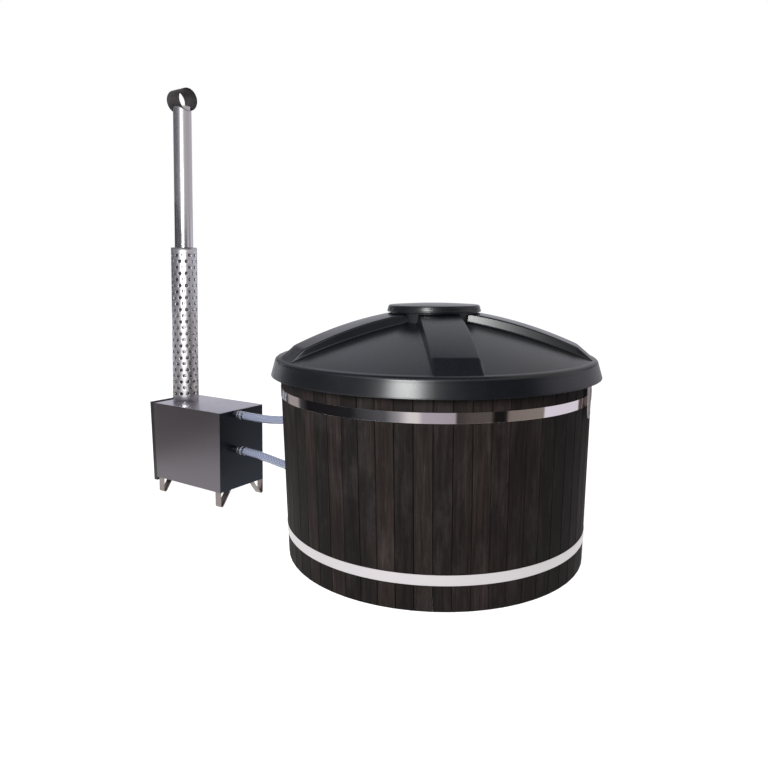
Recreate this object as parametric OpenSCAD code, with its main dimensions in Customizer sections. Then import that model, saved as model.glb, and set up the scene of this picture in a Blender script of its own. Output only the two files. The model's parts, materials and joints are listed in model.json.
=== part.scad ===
// Wooden hot tub with an external wood-fired water heater and a moulded lid.
// The origin is on the floor, on the axis of the tub. The heater stands on the -X side.

/* [Tub wall] */
// Outer radius of the staves at their upper ends
tub_rim_r = 863; // [750:1:950]
// Distance that the wall leans out from its lower to its upper end
wall_taper = 43; // [30:1:55]
// Height of the lower ends of the staves above the floor
stave_foot_z = 5; // [3:1:8]
// Height of the upper ends of the staves above the floor
stave_top_z = 1015; // [985:1:1040]
// Thickness of a stave at its lower end
stave_t = 42; // [34:1:45]
// Number of staves round the wall
stave_count = 60; // [48:12:72]
// Width of the bevel along each outer edge of a stave
stave_bevel = 3; // [1:0.5:5]
// Width of the steel bands
band_w = 50; // [35:1:60]
// Thickness of the steel bands
band_t = 1.5; // [1:0.5:3]
// Height of the lower edge of the lower band
lower_band_z = 129; // [115:1:180]
// Height of the lower edge of the upper band
upper_band_z = 876; // [860:1:890]

/* [Tub base] */
// Height of the bearers under the floor
bearer_h = 70; // [66:1:80]
// Width of a bearer
bearer_w = 45; // [35:1:60]
// Distance between the bearers' centres
bearer_pitch = 280; // [250:1:290]
// Thickness of the floor boards
floor_t = 28; // [22:1:32]
// Width of a floor board
floor_board_w = 92; // [80:1:120]

/* [Insert and bench] */
// Wall thickness of the plastic insert
insert_t = 8; // [5:1:10]
// Distance of the insert's wall at its rim inside the outside of the staves
insert_in = 71; // [64:1:85]
// Distance that the insert's wall leans out from its floor to its rim
insert_taper = 54; // [45:1:65]
// Radius of the insert's corner between floor and wall
insert_corner_r = 60; // [40:1:80]
// Height of the top of the bench above the insert's floor
bench_h = 360; // [300:1:420]
// Distance of the bench's outer edge inside the foot of the insert's wall
bench_in = 58; // [53:1:90]
// Width of one bench slat
bench_slat_w = 96; // [80:1:100]
// Thickness of the bench slats
bench_slat_t = 28; // [20:1:35]
// Width of the square bars that carry the bench
bench_bar = 45; // [35:1:55]

/* [Lid] */
// Distance that the lower edge of the lid's skirt stands out from the staves
lid_overhang = 52; // [40:1:60]
// Distance that the skirt leans out from its top to its lower edge
skirt_flare = 20; // [5:1:25]
// Height of the straight part of the skirt
skirt_h = 74; // [60:1:90]
// Distance that the skirt reaches down below the top of the staves
skirt_drop = 23; // [12:1:30]
// Thickness of the lid's moulded skin
lid_t = 5; // [4:0.5:8]
// Radius of the neck under the cap
neck_r = 240; // [225:1:248]
// Rise of the dome from its outer edge to the neck
dome_rise = 185; // [180:1:230]
// Width of a rib at its flat top
rib_w = 222; // [180:1:240]
// Number of ribs
rib_count = 5; // [4:1:6]
// Radius of the cap at its widest
cap_r = 264; // [255:1:275]
// Height of the cap's edge
cap_h = 37; // [28:1:45]

/* [Heater] */
// Distance from the tub's axis to the heater's end panel
heater_x = 1440; // [1400:1:1600]
// Distance of the heater's centre line from the tub's axis, to the side
heater_y = 110; // [100:1:120]
// Length of the heater's casing along its lower edge
heater_l = 635; // [610:1:700]
// Width of the heater's casing
heater_w = 392; // [370:1:420]
// Height of the casing's floor above the ground
heater_foot_h = 99; // [90:1:120]
// Height of the casing
heater_h = 531; // [505:1:560]
// Angle at which the front leans outwards
front_lean = 3.5; // [0:0.5:4]
// Thickness of the casing's sheet
casing_t = 3; // [2:0.5:4]
// Wall thickness of the firebox
firebox_t = 5; // [4:0.5:8]
// Depth of the front frame
frame_t = 22; // [18:1:26]
// Depth of the dark front plate
front_t = 35; // [30:1:38]

/* [Flue] */
// Outer diameter of the flue pipe
flue_d = 127; // [110:1:133]
// Height of the flue pipe's upper end above the ground
flue_top_z = 2736; // [2500:1:2900]
// Diameter of the perforated heat shield
shield_d = 180; // [172:1:190]
// Height of the shield's upper end above the ground
shield_top_z = 1735; // [1700:1:1800]
// Diameter of the shield's holes
shield_hole_d = 25; // [18:1:28]
// Distance between the rows of holes
shield_row_pitch = 43; // [40:1:50]
// Diameter of the cowl's drum
cowl_d = 161; // [150:1:180]
// Length of the cowl's drum
cowl_l = 133; // [120:1:170]

/* [Hidden] */

$fn = 96;
small_fn = 32;

// Overrun of every cut past the face that it opens
cut = 10;
// Gap between pieces that are fixed to each other
seat = 0.2;
// Gap between pieces that move past each other
run = 0.5;
// Radial clearance of a pin that turns in its hole
pin_run = 0.06;

// Stave joints
tub_foot_r = tub_rim_r - wall_taper;
stave_gap = 0.2;
stave_step = 360 / stave_count;
band_gap = 0.2;
band_joint_az = 126;
band_joint_half = 15;
band_lug_t = 4;
band_lug_l = 42;
band_bolt_r = 4;
band_nut_r = 7.5;
band_nut_h = 7;
band_bolt_over = 6;

// The wall leans outwards, so these give its faces at a height
function stave_r(z) = tub_foot_r
    + (tub_rim_r - tub_foot_r) * (z - stave_foot_z) / (stave_top_z - stave_foot_z);
function stave_corner_r(z) = stave_r(z) / cos(stave_step / 2);
function stave_in_r(z) = stave_r(z) * (tub_foot_r - stave_t) / tub_foot_r;
function band_in_r(z) = stave_corner_r(z) + band_gap;

// Base
bearer_count = 5;
bearer_span_r = stave_in_r(stave_foot_z) - 2 * cut;
floor_gap = 4;
floor_top_z = bearer_h + floor_t;
floor_r = stave_in_r(bearer_h) - seat;

// Insert
insert_rim_r = tub_rim_r - insert_in;
insert_foot_r = insert_rim_r - insert_taper;
insert_bottom_z = floor_top_z + seat;
insert_floor_z = insert_bottom_z + insert_t;
insert_flange_z = stave_top_z + seat;
insert_flange_t = 10;
insert_flange_r = stave_r(stave_top_z) - seat;
function insert_out_r(z) = insert_foot_r + (insert_rim_r - insert_foot_r)
    * (z - insert_bottom_z - insert_corner_r) / (insert_flange_z - insert_bottom_z - insert_corner_r);
function insert_in_r(z) = insert_out_r(z) - insert_t;

// Bench
bench_sides = 8;
bench_step = 360 / bench_sides;
bench_rows = 3;
bench_gap = 6;
bench_r = insert_foot_r - bench_in;
bench_top_z = insert_floor_z + bench_h;
bench_in_r = bench_r - bench_rows * bench_slat_w - (bench_rows - 1) * bench_gap;
bench_leg_in = 30;

// Ports in the wall for the two hoses, and the drain
port_az = 189;
port_stave_i = floor(port_az / stave_step);
upper_port_z = 618;
lower_port_z = 316;
port_r = 25;
port_bore_r = 17;
port_clear = 1;
port_flange_r = 40;
port_flange_t = 6;
port_nut_r = 31;
port_nut_t = 20;
port_slope_gap = port_flange_r * (tub_rim_r - tub_foot_r) / (stave_top_z - stave_foot_z) + seat;
tail_r = 21;
tail_l = 62;
strainer_r = 42;
strainer_h = 26;
strainer_t = 4;
strainer_slot_w = 5;
strainer_slots = 3;
drain_az = 99;
drain_z = 43;
drain_r = 20;
drain_bore_r = 18;
drain_sump_in = 120;
drain_sump_r = bench_r - drain_sump_in;
drain_flange_r = 34;
drain_flange_t = 3;
drain_hole_r = 3;
drain_hole_ring_r = 11;
drain_holes = 6;
valve_r = 32;
valve_l = 74;
valve_start = 16;
valve_spigot_r = 24;
valve_spigot_l = 30;
ball_r = 24;
ball_clear = 0.3;
stem_r = 6;
bonnet_r = 12;
bonnet_h = 8;
lever_w = 20;
lever_t = 4;
lever_l = 115;

// Lid levels, worked up from the top of the staves
lid_seat_z = insert_flange_z + insert_flange_t + run;
skirt_foot_z = stave_top_z - skirt_drop;
shoulder_z = skirt_foot_z + skirt_h;
shoulder_drop = 24;
shoulder_in = 33;
shoulder_steps = 6;
lid_r = tub_rim_r + lid_overhang;
lid_shoulder_r = lid_r - skirt_flare;
dome_edge_r = lid_shoulder_r - shoulder_in;
dome_edge_z = shoulder_z + shoulder_drop;
dome_step = 10;
dome_in_r = neck_r + dome_step;
dome_bulge = 15;
dome_steps = 10;
neck_h = 65;
neck_top_z = dome_edge_z + dome_rise + neck_h;
function bow(t) = 4 * t * (1 - t);
function dome_t(r) = (r - dome_in_r) / (dome_edge_r - dome_in_r);
function dome_z(r) = dome_edge_z + dome_rise * (1 - dome_t(r)) + dome_bulge * bow(dome_t(r));

// Ribs of the lid
rib_az = 19.5;
rib_sink = 20;
rib_in_r = neck_r - rib_sink;
rib_end_in = 72;
rib_end_r = dome_edge_r - rib_end_in;
rib_foot_out = 10;
rib_foot_r = dome_edge_r + rib_foot_out;
rib_draft = 3;
rib_start_h = 49;
rib_end_h = 40;
rib_bulge = 28;
rib_steps = 8;
rib_depth = 60;
function rib_t(r) = (r - neck_r) / (rib_end_r - neck_r);
function rib_z(r) = (dome_z(neck_r) + rib_start_h) * (1 - rib_t(r))
    + (dome_z(rib_end_r) + rib_end_h) * rib_t(r) + (rib_bulge - dome_bulge / 2) * bow(rib_t(r));
rib_slope = atan((rib_z(neck_r) - rib_z(rib_end_r)) / (rib_end_r - neck_r));

// Cap, foam and liner of the lid
cap_t = 5;
cap_edge_step = 3;
cap_crown = 9;
cap_lip = 8;
cap_foot_z = neck_top_z - cap_lip;
liner_t = 4;
foam_gap = 2;
liner_in = 30;
liner_drop = 35;
liner_dome_r = insert_rim_r - liner_in;
liner_dome_z = dome_edge_z - liner_drop;
liner_rise = 110;
liner_steps = 6;
function skirt_in_r(z) = lid_r - lid_t - (lid_r - lid_shoulder_r) * (z - skirt_foot_z)
    / (skirt_h - lid_t);
liner_rim_r = skirt_in_r(lid_seat_z + liner_t) - seat;

// Hold-down straps of the lid, hinged under its rim and hanging over the upper band
strap_az = 3;
strap_w = 50;
strap_t = 3;
strap_out = 10;
strap_hinge_drop = 26;
strap_r = tub_rim_r + strap_out;
strap_hinge_z = lid_seat_z - strap_hinge_drop;
strap_foot_z = 815;
strap_knuckle_r = 5.5;
strap_knuckle_w = 26;
strap_pin_r = 3;
strap_hole_r = 6;

// Heater frame: the casing runs from its end panel at -heater_x towards -X
heater_top_z = heater_foot_h + heater_h;
front_x = -heater_x - heater_l;
plate_h = heater_h / cos(front_lean);
function front_at(z, depth) = front_x - (z - heater_foot_h) * tan(front_lean) - depth / cos(front_lean);
firebox_w = 290;
firebox_rise = 37;
firebox_head = 79;
firebox_h = heater_h - firebox_rise - firebox_head;
firebox_end_gap = 80;
firebox_foot_z = heater_foot_h + firebox_rise;
firebox_top_z = firebox_foot_z + firebox_h;
firebox_end_x = -heater_x - firebox_end_gap;
door_open_w = 260;
door_open_z = 175;
door_open_h = 220;
ash_open_z = 50;
ash_open_h = 75;
plate_drop = 22;
plate_rise = 6;
baffle_t = 6;
baffle_l = 380;
baffle_drop = 55;
grate_rise = 147;
grate_z = heater_foot_h + grate_rise;
grate_t = 12;
grate_l = 440;
grate_slot_w = 10;
grate_bar_w = 14;
grate_rim = 25;
grate_ledge = 14;

// Feet: a flat bar bent to a V, upright along the casing's long side
foot_w = 50;
foot_t = 6;
foot_bend_r = 12;
foot_angle = 36;
foot_arc_steps = 12;

// Fire door, in the frame of the leaning front
front_face = frame_t + seat + front_t;
door_w = 310;
door_z = 150;
door_h = 270;
door_gap = 0.4;
door_t = 17;
door_skin = 4;
gasket_w = 9;
door_hinge_y = 171;
door_hinge_out = 9;
door_hinge_x = front_face + door_hinge_out;
hinge_r = 7;
hinge_pin_r = 4;
hinge_pin_head = 3;
hinge_pin_lip = 2;
hinge_knuckle_l = 30;
hinge_lug_l = 22;
hinge_z_share = [0.13, 0.76];
door_baffle_t = 5;
door_baffle_in = 15;
door_baffle_depth = 22;
door_bolt_r = 4;
handle_y = 128;
handle_reach = 45;
handle_bar_r = 6;
handle_grip_r = 11;
handle_h = 130;
bar_step = 1;

// Ash drawer and its air slide
drawer_w = 250;
drawer_rise = 54;
drawer_foot_z = heater_foot_h + drawer_rise;
drawer_h = 62;
drawer_t = 2;
drawer_end_gap = 180;
drawer_end_x = -heater_x - drawer_end_gap;
drawer_front_w = 292;
drawer_front_z = 36;
drawer_front_h = 102;
drawer_front_t = 5;
runner_w = 14;
runner_in = 5;
runner_front_gap = 50;
runner_l = heater_l - drawer_end_gap - runner_in - runner_front_gap;
pull_r = 6;
pull_w = 110;
pull_reach = 26;
pull_z = 58;
slide_t = 3;
slide_w = 130;
slide_h = 34;
slide_z = 106;
slide_travel = 22;
air_slot_w = 18;
air_slot_h = 12;
air_slot_count = 3;
guide_h = 6;
guide_lip = 4;
guide_lip_t = 2;
slide_knob_r = 5;
slide_knob_h = 12;

// Flue
flue_in = 575;
flue_x = -heater_x - flue_in;
flue_t = 2;
flue_r = flue_d / 2;
collar_lip = 2;
collar_flange_r = shield_d / 2 + collar_lip;
collar_flange_t = 3;
collar_spigot_h = 45;
collar_foot_z = firebox_top_z - firebox_t;
flue_split_z = 1680;
flue_sleeve_h = 50;
shield_t = 1.5;
shield_foot_z = heater_top_z + collar_flange_t + seat;
shield_rim = 32;
shield_holes = 12;
spacer_r = 4;
spacer_count = 3;
spacer_in = 20;
cowl_t = 2;
cowl_rise = 47;

// Hoses: points chosen by hand, in millimetres, from the heater to the tub
hose_r = 26;
hose_bore_r = 21.9;
hose_sides = 12;
hose_y = 175;
upper_nipple_z = 604;
lower_nipple_z = 366;
nipple_l = 38;
nipple_r = 21;
nipple_collar_r = 25;
nipple_collar_t = 3;
nipple_in = 14;
clamp_t = 1;
clamp_w = 17;
clamp_block = 12;
clamp_block_h = 8;
clamp_clear = 0.2;
upper_route = [
    [-1398.8, -175, 604], [-1372, -175, 604], [-1335, -175, 604], [-1300, -175, 603.8],
    [-1255, -174, 603.2], [-1210, -173, 602.8], [-1165, -171, 603], [-1120, -168, 604.2],
    [-1075, -165, 606.8], [-1035, -161, 610.2], [-1000, -157, 614], [-965, -152.8, 616.8],
    [-932, -147.6, 618], [-904, -143.2, 618], [-864.4, -136.9, 618]
];
lower_route = [
    [-1398.8, -175, 366], [-1372, -175, 366], [-1335, -175, 366], [-1300, -175, 365],
    [-1255, -174, 362.5], [-1210, -173, 358], [-1165, -171, 352], [-1120, -168, 345],
    [-1075, -165, 337.5], [-1035, -161, 330.5], [-1000, -157, 324.5], [-965, -152.8, 319.5],
    [-932, -147.6, 316.5], [-904, -143.2, 316], [-853, -135.1, 316]
];

module at_az(az) { rotate([0, 0, az]) children(); }

// Places a child at a point of the wall, with its +Z pointing straight out
module at_wall(az, z) {
    at_az(az) translate([stave_r(z), 0, z]) rotate([0, 90, 0]) children();
}

// The leaning front of the heater: +X outwards, +Y towards -Y of the tub, +Z up the plate
module at_front() {
    translate([front_x, -heater_y, heater_foot_h]) rotate([0, 0, 180]) rotate([0, front_lean, 0])
        children();
}

module tube(r, t, h) {
    difference() {
        cylinder(r = r, h = h);
        translate([0, 0, -cut]) cylinder(r = r - t, h = h + 2 * cut);
    }
}

module stave_section() {
    half_tan = tan(stave_step / 2);
    out_half = tub_foot_r * half_tan - stave_gap / 2;
    in_half = (tub_foot_r - stave_t) * half_tan - stave_gap / 2;
    side_half = out_half - stave_bevel * half_tan;
    polygon([
        [tub_foot_r - stave_t, -in_half], [tub_foot_r - stave_bevel, -side_half],
        [tub_foot_r, stave_bevel - out_half], [tub_foot_r, out_half - stave_bevel],
        [tub_foot_r - stave_bevel, side_half], [tub_foot_r - stave_t, in_half]
    ]);
}

// Staves with the numbers in a list, counted round the wall
module stave_set(list) {
    translate([0, 0, stave_foot_z])
    linear_extrude(height = stave_top_z - stave_foot_z, scale = tub_rim_r / tub_foot_r)
        for (i = list) rotate(stave_step * (i + 0.5)) stave_section();
}

module staves() {
    color("#2b2624")
    difference() {
        stave_set([for (i = [0:stave_count - 1]) if (i != port_stave_i) i]);
        at_wall(drain_az, drain_z) translate([0, 0, -2 * stave_t])
            cylinder(r = drain_r + port_clear, h = 3 * stave_t, $fn = small_fn);
    }
}

// The stave that both hoses' fittings pass through
module port_stave() {
    color("#2b2624")
    difference() {
        stave_set([port_stave_i]);
        for (z = [lower_port_z, upper_port_z])
            at_wall(port_az, z) translate([0, 0, -2 * stave_t])
                cylinder(r = port_r + port_clear, h = 3 * stave_t, $fn = small_fn);
    }
}

module band(z) {
    joint_cut = band_joint_half + band_lug_t + seat;
    difference() {
        rotate_extrude() polygon([
            [band_in_r(z), z], [band_in_r(z) + band_t, z],
            [band_in_r(z + band_w) + band_t, z + band_w], [band_in_r(z + band_w), z + band_w]
        ]);
        at_az(band_joint_az) translate([0, -joint_cut, z - cut])
            cube([tub_rim_r + 2 * cut, 2 * joint_cut, band_w + 2 * cut]);
    }
}

module upper_band() { color("#d8dade") band(upper_band_z); }
module lower_band() { color("#cfcbc6") band(lower_band_z); }

module at_band_joint(z) {
    at_az(band_joint_az) translate([stave_corner_r(z + band_w) + seat, 0, z]) children();
}

module band_lugs() {
    color("#c8c8ca")
    for (z = [lower_band_z, upper_band_z])
        at_band_joint(z)
            for (side = [0, 1]) mirror([0, side, 0])
                translate([0, band_joint_half, 0])
                difference() {
                    cube([band_lug_l, band_lug_t, band_w]);
                    translate([band_lug_l / 2, -cut, band_w / 2]) rotate([-90, 0, 0])
                        cylinder(r = band_bolt_r + pin_run, h = band_lug_t + 2 * cut, $fn = small_fn);
                }
}

module band_bolts() {
    reach = band_joint_half + band_lug_t + seat;
    color("#b8b8bc")
    for (z = [lower_band_z, upper_band_z])
        at_band_joint(z) translate([band_lug_l / 2, 0, band_w / 2]) rotate([-90, 0, 0]) {
            translate([0, 0, -reach]) cylinder(r = band_bolt_r, h = 2 * reach + band_nut_h + band_bolt_over,
                $fn = small_fn);
            translate([0, 0, -reach - band_nut_h]) cylinder(r = band_nut_r, h = band_nut_h, $fn = 6);
            translate([0, 0, reach])
            difference() {
                cylinder(r = band_nut_r, h = band_nut_h, $fn = 6);
                translate([0, 0, -cut])
                    cylinder(r = band_bolt_r + pin_run / 3, h = band_nut_h + 2 * cut, $fn = small_fn);
            }
        }
}

module bearers() {
    color("#6b5a48")
    intersection() {
        cylinder(r = bearer_span_r, h = bearer_h);
        for (i = [0:bearer_count - 1])
            translate([(i - (bearer_count - 1) / 2) * bearer_pitch - bearer_w / 2, -bearer_span_r, 0])
                cube([bearer_w, 2 * bearer_span_r, bearer_h]);
    }
}

module floor_boards() {
    pitch = floor_board_w + floor_gap;
    count = 2 * floor(floor_r / pitch);
    color("#75634f")
    difference() {
        intersection() {
            translate([0, 0, bearer_h + seat]) cylinder(r = floor_r, h = floor_t - seat);
            for (i = [0:count - 1])
                translate([-floor_r, (i - count / 2) * pitch + floor_gap / 2, bearer_h])
                    cube([2 * floor_r, floor_board_w, 2 * floor_t]);
        }
        at_az(drain_az) translate([drain_sump_r, 0, 0])
            cylinder(r = drain_flange_r, h = floor_top_z + cut, $fn = small_fn);
    }
}

module insert_wall_profile() {
    c = insert_corner_r;
    polygon(concat(
        [for (a = [-90:15:0]) [insert_foot_r - c + c * cos(a), insert_bottom_z + c + c * sin(a)]],
        [
            [insert_rim_r, insert_flange_z], [insert_flange_r, insert_flange_z],
            [insert_flange_r, insert_flange_z + insert_flange_t],
            [insert_rim_r - insert_t, insert_flange_z + insert_flange_t]
        ],
        [for (a = [0:-15:-90])
            [insert_foot_r - c + (c - insert_t) * cos(a), insert_bottom_z + c + (c - insert_t) * sin(a)]]
    ));
}

module tub_insert() {
    color("#9aa3ab")
    difference() {
        rotate_extrude() insert_wall_profile();
        for (z = [lower_port_z, upper_port_z])
            at_az(port_az) translate([insert_foot_r - insert_corner_r, 0, z]) rotate([0, 90, 0])
                cylinder(r = port_r + port_clear, h = 2 * insert_corner_r + stave_t, $fn = small_fn);
    }
}

// The floor sheet of the insert, which its wall is welded to
module insert_floor() {
    color("#9aa3ab")
    difference() {
        translate([0, 0, insert_bottom_z])
            cylinder(r = insert_foot_r - insert_corner_r - seat, h = insert_t);
        at_az(drain_az) translate([drain_sump_r, 0, 0])
            cylinder(r = drain_r + port_clear, h = insert_floor_z + cut, $fn = small_fn);
    }
}

// One straight slat of the bench, its ends mitred to meet the slats beside it
module bench_slat(in_r) {
    half_in = in_r * tan(bench_step / 2) - bench_gap / 2;
    half_out = (in_r + bench_slat_w) * tan(bench_step / 2) - bench_gap / 2;
    linear_extrude(height = bench_slat_t - seat) polygon([
        [in_r, -half_in], [in_r + bench_slat_w, -half_out],
        [in_r + bench_slat_w, half_out], [in_r, half_in]
    ]);
}

module bench_slats() {
    color("#8a6f52")
    for (i = [1:bench_sides - 1])
        at_az(port_az + i * bench_step)
            for (row = [0:bench_rows - 1])
                translate([0, 0, bench_top_z - bench_slat_t + seat])
                    bench_slat(bench_in_r + row * (bench_slat_w + bench_gap));
}

module bench_frames() {
    arm_l = (bench_r - bench_in_r) / cos(bench_step / 2) - bench_leg_in;
    arm_top = bench_top_z - bench_slat_t;
    color("#7a6147")
    for (i = [1:bench_sides])
        at_az(port_az + (i - 0.5) * bench_step)
            translate([bench_in_r / cos(bench_step / 2) + bench_leg_in / 2, -bench_bar / 2, 0]) {
                translate([0, 0, arm_top - bench_bar]) cube([arm_l, bench_bar, bench_bar]);
                for (x = [bench_leg_in / 2, arm_l - bench_leg_in - 2 * bench_bar])
                    translate([x, 0, insert_floor_z + seat])
                        cube([bench_bar, bench_bar, arm_top - insert_floor_z - bench_bar]);
            }
}

// The hose tail, nut, flange and threaded body of a through-wall fitting
module wall_fittings() {
    color("#3a3d40")
    for (z = [lower_port_z, upper_port_z]) {
        depth = stave_r(z) - insert_in_r(z);
        flange_end = port_slope_gap + port_flange_t;
        at_wall(port_az, z)
        difference() {
            union() {
                translate([0, 0, -depth - strainer_t]) cylinder(r = port_r, h = depth + strainer_t
                    + flange_end + port_nut_t / 2, $fn = small_fn);
                translate([0, 0, port_slope_gap]) cylinder(r = port_flange_r, h = port_flange_t);
                translate([0, 0, flange_end]) cylinder(r = port_nut_r, h = port_nut_t, $fn = 6);
                translate([0, 0, flange_end]) cylinder(r = tail_r, h = port_nut_t + tail_l);
            }
            translate([0, 0, -depth - cut])
                cylinder(r = port_bore_r, h = depth + flange_end + port_nut_t + tail_l + 2 * cut);
        }
    }
}

module port_strainers() {
    color("#c9ccd0")
    for (z = [lower_port_z, upper_port_z])
        at_az(port_az) translate([insert_in_r(z - strainer_r) - run, 0, z]) rotate([0, -90, 0])
        difference() {
            cylinder(r = strainer_r, h = strainer_h);
            translate([0, 0, -cut]) cylinder(r = port_r + pin_run, h = strainer_h - strainer_t + cut);
            for (i = [0:strainer_slots - 1])
                translate([(i - (strainer_slots - 1) / 2) * 3 * strainer_slot_w - strainer_slot_w / 2,
                    -port_r * 0.7, 0])
                    cube([strainer_slot_w, port_r * 1.4, strainer_h + cut]);
        }
}

module drain_pipe() {
    out_r = stave_r(drain_z) + valve_start;
    color("#b5bac0")
    at_az(drain_az) translate([drain_sump_r, 0, 0])
    difference() {
        union() {
            translate([0, 0, drain_z]) cylinder(r = drain_r, h = insert_floor_z - drain_z + seat);
            translate([0, 0, drain_z]) sphere(r = drain_r);
            translate([0, 0, drain_z]) rotate([0, 90, 0]) cylinder(r = drain_r, h = out_r - drain_sump_r);
            translate([0, 0, insert_bottom_z - drain_flange_t - seat])
                cylinder(r = drain_flange_r - 2 * run, h = drain_flange_t);
        }
        translate([0, 0, drain_z]) cylinder(r = drain_bore_r, h = insert_floor_z);
        translate([0, 0, drain_z]) sphere(r = drain_bore_r);
        translate([0, 0, drain_z]) rotate([0, 90, 0]) cylinder(r = drain_bore_r, h = out_r);
    }
}

module drain_strainer() {
    color("#c9ccd0")
    at_az(drain_az) translate([drain_sump_r, 0, insert_floor_z + 2 * seat])
    difference() {
        cylinder(r = drain_flange_r, h = drain_flange_t);
        for (i = [0:drain_holes - 1])
            rotate([0, 0, i * 360 / drain_holes]) translate([drain_hole_ring_r, 0, -cut])
                cylinder(r = drain_hole_r, h = 2 * cut, $fn = small_fn);
    }
}

module at_valve() {
    at_az(drain_az) translate([stave_r(drain_z) + valve_start + seat, 0, drain_z]) children();
}

module valve_body() {
    color("#c2a45c")
    at_valve()
    difference() {
        union() {
            rotate([0, 90, 0]) cylinder(r = valve_r, h = valve_l);
            rotate([0, 90, 0]) cylinder(r = valve_spigot_r, h = valve_l + valve_spigot_l);
            translate([valve_l / 2, 0, 0]) cylinder(r = bonnet_r, h = valve_r + bonnet_h);
        }
        translate([-cut, 0, 0]) rotate([0, 90, 0])
            cylinder(r = drain_bore_r, h = valve_l + valve_spigot_l + 2 * cut);
        translate([valve_l / 2, 0, 0]) sphere(r = ball_r + ball_clear);
        translate([valve_l / 2, 0, 0])
            cylinder(r = stem_r + pin_run, h = valve_r + bonnet_h + cut);
    }
}

module valve_ball() {
    color("#d4d6da")
    at_valve() translate([valve_l / 2, 0, 0]) rotate([90, 0, 0])
    rotate_extrude() difference() {
        circle(r = ball_r);
        translate([-ball_r - cut, -ball_r - cut]) square([ball_r + cut + drain_bore_r, 2 * ball_r + 2 * cut]);
    }
}

module drain_lever() {
    lever_z = valve_r + bonnet_h + run;
    color("#b03a2e")
    at_valve() translate([valve_l / 2, 0, 0]) {
        translate([0, 0, ball_r + ball_clear]) cylinder(r = stem_r, h = lever_z - ball_r - ball_clear
            + 2 * lever_t, $fn = small_fn);
        translate([0, 0, lever_z]) {
            cylinder(r = lever_w / 2, h = lever_t);
            translate([-lever_w / 2, 0, 0]) cube([lever_w, lever_l, lever_t]);
            translate([0, lever_l, 0]) cylinder(r = lever_w / 2, h = lever_t);
        }
    }
}

// The lid's closed outer form. s is how far the form is drawn in, for its inside.
module lid_form(s) {
    rotate_extrude() polygon(concat(
        [[0, skirt_foot_z - (s > 0 ? cut : 0)],
            [lid_r - s + (s > 0 ? cut * (lid_r - lid_shoulder_r) / (skirt_h - s) : 0),
                skirt_foot_z - (s > 0 ? cut : 0)]],
        [for (i = [0:shoulder_steps])
            let (a = 90 * i / shoulder_steps)
            [lid_shoulder_r - s - shoulder_in * (1 - cos(a)), shoulder_z - s + shoulder_drop * sin(a)]],
        [for (i = [1:dome_steps])
            let (r = dome_edge_r + (dome_in_r - dome_edge_r) * i / dome_steps)
            [r - s, dome_z(r) - s]],
        [[neck_r - s, dome_z(neck_r) - s], [neck_r - s, neck_top_z - s], [0, neck_top_z - s]]
    ));
}

// One radial rib: its side outline, cut to a flat-topped section with drafted sides
module lid_rib(s) {
    ref_z = rib_z(neck_r);
    top_half = rib_w / 2 - s;
    foot_half = top_half + rib_draft * (rib_depth + rib_bulge) / rib_end_h;
    intersection() {
        rotate([90, 0, 0]) translate([0, 0, -rib_w]) linear_extrude(height = 2 * rib_w)
            polygon(concat(
                [[rib_in_r + s, dome_z(rib_in_r) - rib_depth]],
                [for (i = [0:rib_steps])
                    let (r = rib_in_r + (rib_end_r - rib_in_r) * i / rib_steps)
                    [r - (i == rib_steps ? s / 2 : 0) + (i == 0 ? s : 0), rib_z(r) - s]],
                [[rib_foot_r - s, dome_z(rib_foot_r) - s], [rib_foot_r - s, dome_z(rib_foot_r) - rib_depth]]
            ));
        translate([neck_r, 0, ref_z + rib_bulge]) rotate([0, rib_slope, 0])
            rotate([90, 0, 90]) translate([0, 0, -rib_sink - cut])
            linear_extrude(height = 2 * rib_foot_r)
                polygon([[-foot_half, -rib_depth - rib_bulge - cut], [foot_half, -rib_depth - rib_bulge - cut],
                    [top_half, 0], [-top_half, 0]]);
    }
}

module lid_shell() {
    color("#2c2e33")
    difference() {
        union() {
            lid_form(0);
            for (i = [0:rib_count - 1]) at_az(rib_az + i * 360 / rib_count) lid_rib(0);
        }
        lid_form(lid_t);
        for (i = [0:rib_count - 1]) at_az(rib_az + i * 360 / rib_count) lid_rib(lid_t);
    }
}

module lid_cap() {
    e = cap_edge_step;
    color("#3a3c42")
    rotate_extrude() polygon([
        [neck_r + seat, cap_foot_z], [cap_r, cap_foot_z], [cap_r, cap_foot_z + cap_h * 0.3],
        [cap_r - e, cap_foot_z + cap_h * 0.3 + e], [cap_r - e, cap_foot_z + cap_h * 0.62],
        [cap_r - 2 * e, cap_foot_z + cap_h * 0.62 + e], [cap_r - 2 * e, cap_foot_z + cap_h - 2 * e],
        [cap_r - 4 * e, cap_foot_z + cap_h], [cap_r / 2, cap_foot_z + cap_h + cap_crown * 0.75],
        [0, cap_foot_z + cap_h + cap_crown], [0, cap_foot_z + cap_h + cap_crown - cap_t],
        [neck_r - 4 * e, cap_foot_z + cap_h - cap_t], [neck_r - 4 * e, neck_top_z + seat],
        [neck_r + seat, neck_top_z + seat]
    ]);
}

function liner_z(r) = liner_dome_z + liner_rise * (1 - pow(r / liner_dome_r, 2));

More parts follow.
